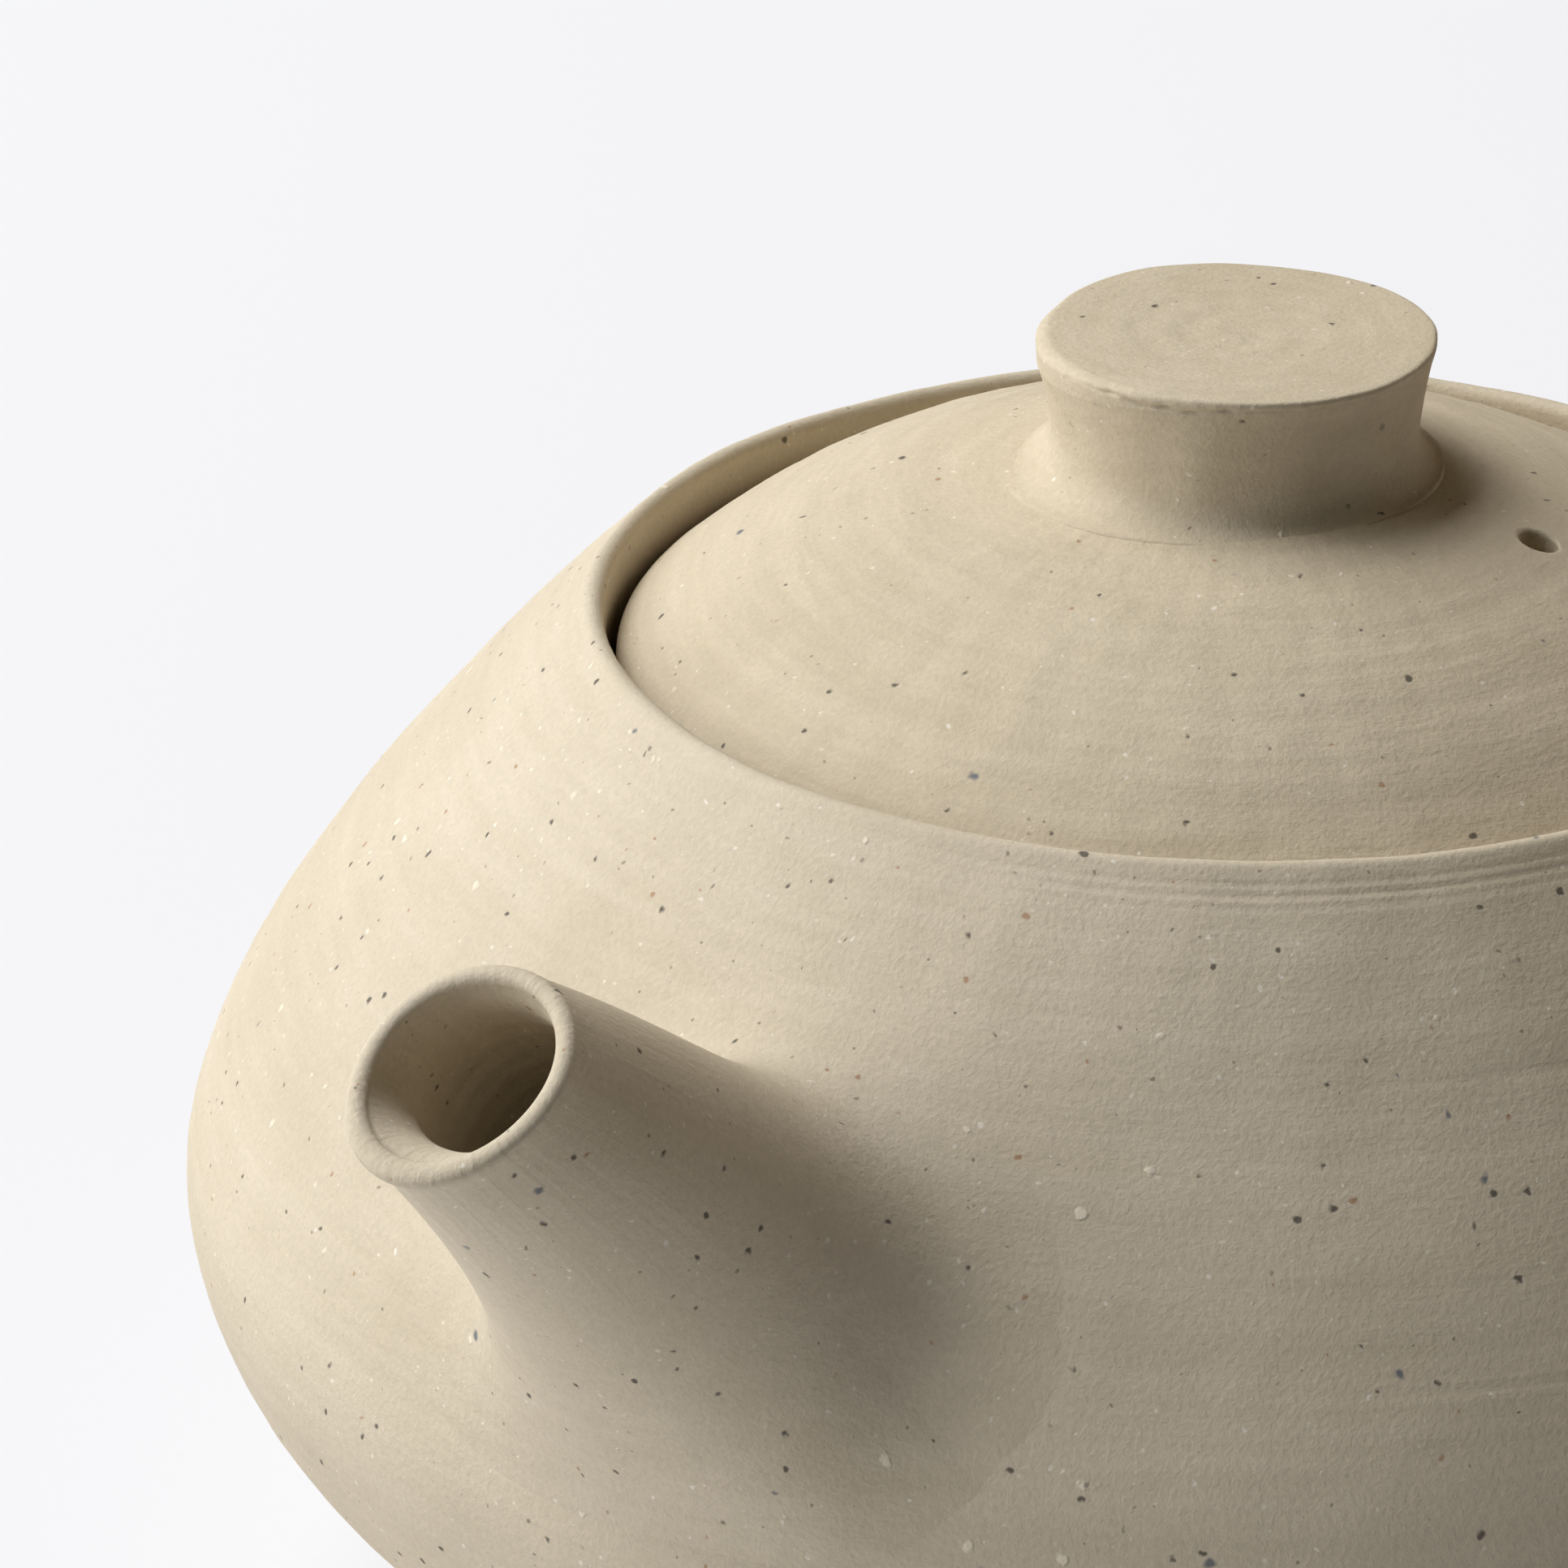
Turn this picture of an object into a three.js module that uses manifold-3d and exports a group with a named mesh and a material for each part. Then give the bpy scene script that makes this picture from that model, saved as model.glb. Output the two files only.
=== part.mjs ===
// A side-handled kyusu of unglazed stoneware: a thrown body, a flared spout with its clay strainer,
// a hollow side handle, and a lid with its knob. Millimetres, +Z up. The origin is the middle of the
// flat base, the spout points along -Y and the handle along +X.
import * as THREE from "three";
import { mergeVertices } from "three/addons/utils/BufferGeometryUtils.js";
import Module from "manifold-3d";

const wasm = await Module();
wasm.setup();

// Body: the thrown shell.
const bodyRadius = 55; // at the belly, the widest circle
const bellyHeight = 27.5;
const crestRadius = 32.9; // the rim's highest line
const crestHeight = 58.9;
const footRadius = 29;
const footChamfer = 1.2;
const bodyWall = 3.2;
const floorThickness = 4.5;
const shoulderHandle = 10.5; // how far the curve runs straight up from the belly
const crestHandle = 2.5; // and how far it runs straight into the crest
const crestSlope = THREE.MathUtils.degToRad(45);
const hipHandle = 11; // the same two lengths below the belly
const footHandle = 10;
const footSlope = THREE.MathUtils.degToRad(22);
const rimRound = 0.6; // radius of the rounded crest

// Gallery: the ledge inside the rim that carries the lid.
const galleryDepth = 6.2; // from the crest down to the ledge
const neckRadius = 28; // the opening inside the ledge
const ledgeThickness = 2.6;
const ledgeDrop = 2.4; // how far the ledge's underside falls to the wall

// Lid.
const lidGap = 0.6; // all round, inside the rim
const seatGap = 0.3; // between pieces that rest on or are luted to each other
const lidEdgeHeight = 3.5;
const lidEdgeRound = 0.7;
const lidWall = 2.8;
const domeRise = 9.4; // from the edge to the flat under the knob
const domeEdgeHandle = 6.4;
const domeEdgeSlope = THREE.MathUtils.degToRad(43);
const domeCrownHandle = 9;
const domeCrownSlope = THREE.MathUtils.degToRad(9);
const flangeGap = 0.7; // between the locating flange and the neck
const flangeThickness = 2.4;
const flangeDepth = 5.6;
const ventRadius = 1.2;
const ventDistance = 16.6; // from the lid's axis
const ventAzimuth = THREE.MathUtils.degToRad(98.8); // from the spout's side towards the handle

// Knob.
const knobBaseRadius = 10.6;
const knobWaistRadius = 9.1;
const knobTopRadius = 10;
const knobHeight = 6.9;
const knobFlare = 1.7; // height of the fillet at its base
const knobRound = 0.6;
const knobDish = 0.3; // the top is very slightly hollow

// Spout: generators run from the mouth's oblique edge down to a line where they merge with the body.
const mouthReach = 9.5; // from the belly out to the middle of the mouth
const mouthDrop = 0.4; // from the crest down to the middle of the mouth
const mouthTilt = THREE.MathUtils.degToRad(57.9); // elevation of the mouth's normal
const mouthHalfWidth = 5.2;
const mouthLipReach = 5.9; // from the mouth's middle to the pouring lip
const mouthHeelReach = 5.5; // and to its upper edge
const spoutElevation = THREE.MathUtils.degToRad(47);
const spoutTaper = 0.31; // how fast the spout widens as it leaves the mouth
const mouthPull = 0.45; // share of a generator's span that follows the mouth
const rootPull = 0.23; // and the share that follows the body
const rootAboveBelly = 1.9; // the root's middle
const rootBelowCrest = 8.1; // its upper end
const rootAboveBase = 7; // its lower end
const rootSpread = 34.2; // how far it runs to each side on the body
const lipWall = 1.1;
const lipFunnel = 2.4; // depth of the flare just inside the mouth
const boreElevation = THREE.MathUtils.degToRad(51);
const boreMouthRadius = 3.9;
const boreRootRadius = 8.6; // where it meets the body

// Strainer: a pierced clay dome over the spout's opening, inside the body.
const strainerMargin = 4; // how far the dome's radius exceeds the bore's at its root
const strainerWall = 1.8;
const strainerRings = 5; // rings of holes round the middle one
const strainerPitch = 2.15;
const strainerHoleRadius = 0.62;

// Handle: a hollow cone, open at its far end.
const handleAboveBelly = 3.5; // where its axis meets the body
const handleElevation = THREE.MathUtils.degToRad(12);
const handleLength = 63;
const handleEndRadius = 12.4;
const handleWaistRadius = 9.2;
const handleWaistDistance = 15; // from the belly to the slimmest ring
const handleWall = 2.6;
const handleLipRound = 1;
const handleHollowDepth = 50;
const handleRootSpread = 17.5;
const handleRootRise = 15;
const handleRootPull = 0.42;

// How finely the surfaces are divided.
const aroundBody = 56;
const aroundLid = 48;
const aroundKnob = 32;
const aroundSpout = 44;
const aroundHandle = 28;
const outsideSteps = 10; // along each half of the body's outline, and along a generator of the spout
const insideSteps = 7; // along each half of the cavity's wall
const weldTolerance = 1e-4;
const sunk = 0.8; // how deep a luted piece's outline runs under the body's skin before it is cut back

const clay = { pot: 0xd3c8b4, lid: 0xd6cbb8, strainer: 0xc9bda8 };
const stoneware = (color) => new THREE.MeshStandardMaterial({ color, roughness: 0.88, metalness: 0 });

// A point at an azimuth from the spout's side (-Y) towards the handle's side (+X).
const around = (azimuth, radius, z) =>
  new THREE.Vector3(radius * Math.sin(azimuth), -radius * Math.cos(azimuth), z);

// A cubic Bezier in the (radius, height) plane, given as points.
function meridian(start, leave, arrive, end, steps) {
  return new THREE.CubicBezierCurve(start, leave, arrive, end).getPoints(steps);
}
const rz = (radius, z) => new THREE.Vector2(radius, z);

// A closed geometry as a solid: doubles merged, slivers on the axis dropped, faces turned outwards.
function solid(geometry) {
  const bare = geometry.clone();
  bare.deleteAttribute("normal");
  bare.deleteAttribute("uv");
  const merged = mergeVertices(bare, weldTolerance);
  const xyz = merged.attributes.position.array;
  const index = merged.index.array;
  const faces = [];
  for (let i = 0; i < index.length; i += 3) {
    const [a, b, c] = [index[i], index[i + 1], index[i + 2]];
    if (a !== b && b !== c && c !== a) faces.push([a, b, c]);
  }
  const at = (i) => new THREE.Vector3().fromArray(xyz, 3 * i);
  const volume = faces.reduce((sum, [a, b, c]) => sum + at(a).dot(at(b).cross(at(c))), 0);
  const triVerts = new Uint32Array((volume < 0 ? faces.map(([a, b, c]) => [a, c, b]) : faces).flat());
  return new wasm.Manifold(new wasm.Mesh({ numProp: 3, vertProperties: new Float32Array(xyz), triVerts }));
}

// A solid back as a geometry with flat faces.
function geometryOf(shape) {
  const mesh = shape.getMesh();
  const geometry = new THREE.BufferGeometry();
  geometry.setAttribute("position", new THREE.BufferAttribute(mesh.vertProperties, 3));
  geometry.setIndex(new THREE.BufferAttribute(mesh.triVerts, 1));
  geometry.computeVertexNormals();
  return geometry;
}

// A profile of (radius, height) points turned about the pot's axis.
function turned(profile, segments) {
  return solid(new THREE.LatheGeometry(profile, segments).rotateX(Math.PI / 2));
}

// A closed skin over rings of points, each end closed by a fan about its own middle point.
function skin(rings, firstMiddle, lastMiddle) {
  const count = rings[0].length;
  const points = rings.flat();
  const index = [];
  for (let j = 0; j + 1 < rings.length; j += 1) {
    for (let i = 0; i < count; i += 1) {
      const [a, b] = [j * count + i, j * count + ((i + 1) % count)];
      index.push(a, b, a + count, b, b + count, a + count);
    }
  }
  const [first, last] = [points.length, points.length + 1];
  points.push(firstMiddle, lastMiddle);
  const lastRing = (rings.length - 1) * count;
  for (let i = 0; i < count; i += 1) {
    const next = (i + 1) % count;
    index.push(first, next, i, last, lastRing + i, lastRing + next);
  }
  const geometry = new THREE.BufferGeometry().setFromPoints(points);
  geometry.setIndex(index);
  return solid(geometry);
}

// The body's outline from the base's edge up to the crest, as (radius, height) points.
const crestCentre = rz(crestRadius, crestHeight - rimRound);
const crestOuter = rz(
  crestCentre.x + rimRound * Math.sin(crestSlope),
  crestCentre.y + rimRound * Math.cos(crestSlope),
);
const footTop = rz(footRadius, footChamfer);
const belly = rz(bodyRadius, bellyHeight);

function bodyOutline(steps) {
  const hip = meridian(
    footTop,
    rz(footTop.x + footHandle * Math.cos(footSlope), footTop.y + footHandle * Math.sin(footSlope)),
    rz(bodyRadius, bellyHeight - hipHandle),
    belly,
    steps,
  );
  const shoulder = meridian(
    belly,
    rz(bodyRadius, bellyHeight + shoulderHandle),
    rz(
      crestOuter.x + crestHandle * Math.cos(crestSlope),
      crestOuter.y - crestHandle * Math.sin(crestSlope),
    ),
    crestOuter,
    steps,
  );
  return [...hip, ...shoulder.slice(1)];
}
const outline = bodyOutline(outsideSteps);

// A curve moved sideways along its normals: out by a positive distance, in by a negative one.
function offset(curve, distance) {
  return curve.map((point, i) => {
    const before = curve[Math.max(i - 1, 0)];
    const after = curve[Math.min(i + 1, curve.length - 1)];
    const along = after.clone().sub(before).normalize();
    return rz(point.x + distance * along.y, point.y - distance * along.x);
  });
}

// The radius at one height of a curve that only climbs.
function radiusAt(curve, z) {
  const i = Math.max(curve.findIndex((point) => point.y > z), 1);
  const [low, high] = z > curve.at(-1).y ? curve.slice(-2) : [curve[i - 1], curve[i]];
  return low.x + ((high.x - low.x) * (z - low.y)) / (high.y - low.y);
}

// The height at one radius of a curve that runs inwards.
function heightAt(curve, radius) {
  const i = Math.max(curve.findIndex((point) => point.x < radius), 1);
  const [outer, inner] = [curve[i - 1], curve[i]];
  return outer.y + ((inner.y - outer.y) * (outer.x - radius)) / (outer.x - inner.x);
}

// The cavity's wall, from the floor to just under the ledge.
const ledgeTop = crestHeight - galleryDepth;
const ledgeBottom = ledgeTop - ledgeThickness;
const wallTop = ledgeBottom - ledgeDrop;
const innerWall = offset(bodyOutline(insideSteps), -bodyWall);
const cavityWall = [
  rz(radiusAt(innerWall, floorThickness), floorThickness),
  ...innerWall.filter((point) => point.y > floorThickness + 1 && point.y < wallTop - 1),
  rz(radiusAt(innerWall, wallTop), wallTop),
];
const galleryRadius = crestRadius - rimRound;

// The rounded crest, from the shoulder over to the gallery's wall.
const crestArc = [0, 0.5, 1].map((share) => {
  const angle = crestSlope - share * (Math.PI / 2 + crestSlope);
  return rz(crestCentre.x + rimRound * Math.sin(angle), crestCentre.y + rimRound * Math.cos(angle));
});

const shell = turned(
  [
    rz(0, 0),
    rz(footRadius - footChamfer, 0),
    ...outline.slice(0, -1),
    ...crestArc,
    rz(galleryRadius, ledgeTop),
    rz(neckRadius, ledgeTop),
    rz(neckRadius, ledgeBottom),
    ...cavityWall.slice().reverse(),
    rz(0, floorThickness),
  ],
  aroundBody,
);

// The body as if it were full, grown by a gap, for cutting luted pieces back to its skin.
const grown = offset(outline, seatGap);
const fullBody = turned(
  [rz(0, -seatGap), rz(footRadius - footChamfer, -seatGap), ...grown, rz(0, grown.at(-1).y)],
  aroundBody,
);

// The cavity's space, drawn in by a gap, for trimming the strainer.
const drawnIn = offset(cavityWall, -seatGap);
const cavity = turned(
  [rz(0, drawnIn[0].y + seatGap), ...drawnIn, rz(0, drawnIn.at(-1).y)],
  aroundBody,
);

// A point on the body's skin, sunk by a depth, at an azimuth and a height.
const onSkin = (azimuth, z, depth) => around(azimuth, radiusAt(outline, z) - depth, z);

// Rings that leave one ring along its own directions and merge with the body round a root. The root is
// an oval on the skin, and the rings arrive there along the skin.
function rootRings(ring, directions, root, leavePull, arrivePull, steps) {
  const curves = ring.map((from, i) => {
    const angle = (2 * Math.PI * i) / ring.length;
    const up = Math.sin(angle) > 0 ? root.rise : root.fall;
    const spot = (share) =>
      onSkin(
        root.azimuth + (share * root.spread * Math.cos(angle)) / bodyRadius,
        root.z + share * up * Math.sin(angle),
        sunk,
      );
    const to = spot(1);
    const outwards = to.clone().sub(spot(0.97)).normalize();
    const span = to.distanceTo(from);
    return new THREE.CubicBezierCurve3(
      from,
      from.clone().addScaledVector(directions[i], leavePull * span),
      to.clone().addScaledVector(outwards, -arrivePull * span),
      to,
    );
  });
  const shares = Array.from({ length: steps }, (_, j) => (j + 1) / steps);
  return shares.map((share) => curves.map((curve) => curve.getPoint(share)));
}

// A ring of points about a middle: width runs along side, and height along up or, below it, down.
function ovalRing(middle, side, up, halfWidth, rise, fall, count) {
  return Array.from({ length: count }, (_, i) => {
    const angle = (2 * Math.PI * i) / count;
    const reach = Math.sin(angle) > 0 ? rise : fall;
    return middle
      .clone()
      .addScaledVector(side, halfWidth * Math.cos(angle))
      .addScaledVector(up, reach * Math.sin(angle));
  });
}

// Spout. Its side axis is +X, so its rings run from +X over the top.
const spoutSide = new THREE.Vector3(1, 0, 0);
const mouthMiddle = around(0, bodyRadius + mouthReach, crestHeight - mouthDrop);
const mouthNormal = new THREE.Vector3(0, -Math.cos(mouthTilt), Math.sin(mouthTilt));
const mouthUp = new THREE.Vector3(0, Math.sin(mouthTilt), Math.cos(mouthTilt));
const downSpout = new THREE.Vector3(0, Math.cos(spoutElevation), -Math.sin(spoutElevation));
const downBore = new THREE.Vector3(0, Math.cos(boreElevation), -Math.sin(boreElevation));
const acrossBore = new THREE.Vector3(0, Math.sin(boreElevation), Math.cos(boreElevation));

// How far down the bore its axis meets the body's skin, found by halving.
function depthOfSkin() {
  let [outside, inside] = [0, bodyRadius];
  while (inside - outside > 0.001) {
    const depth = (outside + inside) / 2;
    const point = mouthMiddle.clone().addScaledVector(downBore, depth);
    if (-point.y > radiusAt(outline, point.z)) outside = depth;
    else inside = depth;
  }
  return outside;
}
const boreRootDepth = depthOfSkin();

function spoutOutside() {
  const mouth = ovalRing(
    mouthMiddle, spoutSide, mouthUp, mouthHalfWidth, mouthHeelReach, mouthLipReach, aroundSpout,
  );
  const directions = mouth.map((point) => {
    const radial = point.clone().sub(mouthMiddle).normalize();
    return downSpout.clone().addScaledVector(radial, spoutTaper).normalize();
  });
  const rootHeight = bellyHeight + rootAboveBelly;
  const root = {
    azimuth: 0, z: rootHeight,
    rise: crestHeight - rootBelowCrest - rootHeight, fall: rootHeight - rootAboveBase, spread: rootSpread,
  };
  const rings = [mouth, ...rootRings(mouth, directions, root, mouthPull, rootPull, outsideSteps)];
  return skin(rings, mouthMiddle, around(0, bodyRadius / 2, rootHeight));
}

// The bore, from just outside the mouth to the inside of the cavity.
function spoutBore() {
  const past = 1; // beyond the mouth, so that the cut is clean
  const funnel = (distance, wall) =>
    ovalRing(
      mouthMiddle.clone().addScaledVector(mouthNormal, distance), spoutSide, mouthUp,
      mouthHalfWidth - wall, mouthHeelReach - wall, mouthLipReach - wall, aroundSpout,
    );
  const cone = (depth) => {
    const radius = boreMouthRadius + ((boreRootRadius - boreMouthRadius) * depth) / boreRootDepth;
    const middle = mouthMiddle.clone().addScaledVector(downBore, depth);
    return ovalRing(middle, spoutSide, acrossBore, radius, radius, radius, aroundSpout);
  };
  const end = boreRootDepth + 3 * bodyWall;
  const rings = [funnel(past, lipWall), funnel(0, lipWall), cone(lipFunnel), cone(boreRootDepth), cone(end)];
  return skin(
    rings,
    mouthMiddle.clone().addScaledVector(mouthNormal, past),
    mouthMiddle.clone().addScaledVector(downBore, end),
  );
}

const bore = spoutBore();
const spoutShape = spoutOutside().subtract(fullBody).subtract(bore);
const bodyShape = shell.subtract(bore);

// Handle. Its side axis is +Y, so its rings run from +Y over the top.
const handleAxis = new THREE.Vector3(Math.cos(handleElevation), 0, Math.sin(handleElevation));
const handleUp = new THREE.Vector3(-Math.sin(handleElevation), 0, Math.cos(handleElevation));
const handleSide = new THREE.Vector3(0, 1, 0);
const handleHeight = bellyHeight + handleAboveBelly;
const handleStart = around(Math.PI / 2, radiusAt(outline, handleHeight), handleHeight);

const handleRing = (distance, radius) =>
  ovalRing(
    handleStart.clone().addScaledVector(handleAxis, distance), handleSide, handleUp,
    radius, radius, radius, aroundHandle,
  );

// The cone swells from the waist to the far end, slowly at first.
function handleRadius(distance) {
  const share = (distance - handleWaistDistance) / (handleLength - handleWaistDistance);
  return handleWaistRadius + (handleEndRadius - handleWaistRadius) * Math.max(share, 0) ** 1.5;
}

function handleOutside() {
  const span = handleLength - handleWaistDistance;
  const rings = [handleRing(handleLength, handleEndRadius - handleLipRound)];
  for (const share of [1, 0.8, 0.6, 0.4, 0.2, 0]) {
    const distance = Math.min(handleWaistDistance + share * span, handleLength - handleLipRound);
    rings.push(handleRing(distance, handleRadius(distance)));
  }
  const waist = rings.at(-1);
  const inwards = waist.map(() => handleAxis.clone().negate());
  const root = {
    azimuth: Math.PI / 2, z: handleHeight,
    rise: handleRootRise, fall: handleRootRise, spread: handleRootSpread,
  };
  rings.push(...rootRings(waist, inwards, root, handleRootPull, handleRootPull, outsideSteps / 2));
  return skin(
    rings,
    handleStart.clone().addScaledVector(handleAxis, handleLength),
    around(Math.PI / 2, bodyRadius / 2, handleHeight),
  );
}

function handleHollow() {
  const past = 1;
  const bottom = handleLength - handleHollowDepth;
  const rings = [handleRing(handleLength + past, handleEndRadius - handleWall)];
  for (const share of [1, 0.75, 0.5, 0.25, 0.08]) {
    const distance = bottom + share * handleHollowDepth;
    rings.push(handleRing(distance, handleRadius(distance) - handleWall));
  }
  rings.push(handleRing(bottom, (handleRadius(bottom) - handleWall) * 0.6));
  return skin(
    rings,
    handleStart.clone().addScaledVector(handleAxis, handleLength + past),
    handleStart.clone().addScaledVector(handleAxis, bottom),
  );
}

const handleShape = handleOutside().subtract(fullBody).subtract(handleHollow());

// Strainer: a hollow ball on the bore's axis at the wall, trimmed by the cavity and pierced.
function strainerShape() {
  const middle = mouthMiddle.clone().addScaledVector(downBore, boreRootDepth);
  const strainerRadius = boreRootRadius + strainerMargin;
  const ball = (radius) =>
    solid(new THREE.IcosahedronGeometry(radius, 2).translate(middle.x, middle.y, middle.z));
  let dome = ball(strainerRadius).subtract(ball(strainerRadius - strainerWall)).intersect(cavity);
  const drill = new THREE.CylinderGeometry(strainerHoleRadius, strainerHoleRadius, 3 * strainerWall, 5);
  for (let ring = 0; ring <= strainerRings; ring += 1) {
    const count = Math.max(6 * ring, 1);
    const polar = (ring * strainerPitch) / strainerRadius;
    for (let i = 0; i < count; i += 1) {
      const turn = (2 * Math.PI * i) / count;
      const out = downBore.clone().multiplyScalar(Math.cos(polar));
      out.addScaledVector(spoutSide, Math.sin(polar) * Math.cos(turn));
      out.addScaledVector(acrossBore, Math.sin(polar) * Math.sin(turn));
      const aim = new THREE.Quaternion().setFromUnitVectors(new THREE.Vector3(0, 1, 0), out);
      const spot = middle.clone().addScaledVector(out, strainerRadius - strainerWall / 2);
      dome = dome.subtract(solid(drill.clone().applyQuaternion(aim).translate(spot.x, spot.y, spot.z)));
    }
  }
  return dome;
}

// Lid: a dome with a seat, a locating flange below it and a vent beside the knob.
const lidRadius = galleryRadius - lidGap;
const lidSeat = ledgeTop + seatGap;
const lidEdgeTop = lidSeat + lidEdgeHeight;
const crownHeight = lidEdgeTop + domeRise;
const domeEdge = rz(lidRadius - lidEdgeRound * (1 - Math.sin(domeEdgeSlope)), lidEdgeTop);
const dome = meridian(
  domeEdge,
  rz(
    domeEdge.x - domeEdgeHandle * Math.cos(domeEdgeSlope),
    domeEdge.y + domeEdgeHandle * Math.sin(domeEdgeSlope),
  ),
  rz(
    knobBaseRadius + domeCrownHandle * Math.cos(domeCrownSlope),
    crownHeight - domeCrownHandle * Math.sin(domeCrownSlope),
  ),
  rz(knobBaseRadius, crownHeight),
  outsideSteps - 2,
);

function lidShape() {
  const flangeOuter = neckRadius - flangeGap;
  const flangeInner = flangeOuter - flangeThickness;
  const underside = offset(dome, -lidWall).filter((point) => point.x < flangeInner - 0.5);
  const profile = [
    rz(0, crownHeight),
    ...dome.slice().reverse(),
    rz(lidRadius, lidEdgeTop - lidEdgeRound),
    rz(lidRadius, lidSeat),
    rz(flangeOuter, lidSeat),
    rz(flangeOuter, lidSeat - flangeDepth),
    rz(flangeInner, lidSeat - flangeDepth),
    rz(flangeInner, underside[0].y),
    ...underside,
    rz(0, crownHeight - lidWall),
  ];
  const vent = new THREE.CylinderGeometry(ventRadius, ventRadius, 4 * lidWall, 16).rotateX(Math.PI / 2);
  const spot = around(ventAzimuth, ventDistance, heightAt(dome, ventDistance) - lidWall / 2);
  return turned(profile, aroundLid).subtract(solid(vent.translate(spot.x, spot.y, spot.z)));
}

// Knob: a drum with a hollow side, a fillet at its foot and an almost flat top.
function knobShape() {
  const base = crownHeight + seatGap;
  const top = base + knobHeight;
  const side = meridian(
    rz(knobBaseRadius, base),
    rz(knobWaistRadius, base + knobFlare * 0.4),
    rz(knobWaistRadius, base + knobFlare * 2),
    rz(knobTopRadius, top - knobRound),
    8,
  );
  return turned(
    [
      rz(0, base),
      ...side,
      rz(knobTopRadius - 0.3 * knobRound, top - 0.3 * knobRound),
      rz(knobTopRadius - knobRound, top),
      rz(knobTopRadius * 0.6, top - knobDish * 0.8),
      rz(0, top - knobDish),
    ],
    aroundKnob,
  );
}

const kyusu = new THREE.Group();
kyusu.name = "kyusu";
function add(name, shape, color) {
  const mesh = new THREE.Mesh(geometryOf(shape), stoneware(color));
  mesh.name = name;
  kyusu.add(mesh);
}
add("body", bodyShape, clay.pot);
add("spout", spoutShape, clay.pot);
add("handle", handleShape, clay.pot);
add("strainer", strainerShape(), clay.strainer);
add("lid", lidShape(), clay.lid);
add("knob", knobShape(), clay.lid);

export default kyusu;
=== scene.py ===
# %% [markdown]
# # A side-handled teapot of speckled stoneware
#
# The pot is small, 110 mm across the belly, thrown on a wheel and fired without a glaze. The frame
# already holds every piece at its real size and place. This lesson dresses it: each piece becomes a
# smooth surface worked out with numpy, and one clay, mixed three ways, finishes them all.

# %% Load the frame
import math

import bpy
import numpy as np
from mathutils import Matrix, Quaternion, Vector


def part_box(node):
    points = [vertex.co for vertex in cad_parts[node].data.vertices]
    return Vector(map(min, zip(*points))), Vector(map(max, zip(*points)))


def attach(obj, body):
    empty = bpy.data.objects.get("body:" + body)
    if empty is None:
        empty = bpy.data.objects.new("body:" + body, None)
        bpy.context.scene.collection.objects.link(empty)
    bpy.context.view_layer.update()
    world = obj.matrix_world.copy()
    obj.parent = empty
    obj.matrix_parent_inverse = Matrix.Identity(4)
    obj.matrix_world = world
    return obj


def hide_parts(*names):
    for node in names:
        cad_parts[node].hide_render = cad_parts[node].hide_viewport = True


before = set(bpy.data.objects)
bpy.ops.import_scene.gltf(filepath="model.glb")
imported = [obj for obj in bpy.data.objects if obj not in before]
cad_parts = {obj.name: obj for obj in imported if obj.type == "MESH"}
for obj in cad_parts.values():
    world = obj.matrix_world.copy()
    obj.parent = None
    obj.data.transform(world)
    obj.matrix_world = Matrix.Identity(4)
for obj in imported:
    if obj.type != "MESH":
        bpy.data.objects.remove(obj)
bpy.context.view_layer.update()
print("frame holds", sorted(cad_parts))

# %% [markdown]
# ## Units and main sizes
#
# Sizes are written in millimetres, as a potter would give them, and turned to metres when a mesh is
# made. The large ones are read from the frame, so the dress always fits the body under it.

# %% Sizes
MM = 0.001
body_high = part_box("body")[1]
lid_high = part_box("lid")[1]
knob_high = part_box("knob")[1]

belly_radius = body_high.x / MM
crest_height = body_high.z / MM
lid_radius = lid_high.x / MM
crown_height = lid_high.z / MM
knob_top = knob_high.z / MM
print("belly", round(belly_radius, 1), "crest", round(crest_height, 1), "knob top", round(knob_top, 1))

belly_height = 27.5
crest_radius = 32.9
foot_radius = 29.0
foot_bevel = 1.2
wall = 3.2
floor_thickness = 4.5
gallery_depth = 6.2
neck_radius = 28.0
ledge_thickness = 2.6
ledge_drop = 2.4
rim_round = 0.6
gallery_radius = crest_radius - rim_round

# %% [markdown]
# ## From arrays to meshes
#
# Every piece is a grid: rows run along a profile or a generator, columns run round the piece. One
# helper turns such a grid into a mesh. Its ends either close in a single pole vertex each, as on a lid,
# or meet, as on a tube whose inside and outside are one surface.


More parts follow.
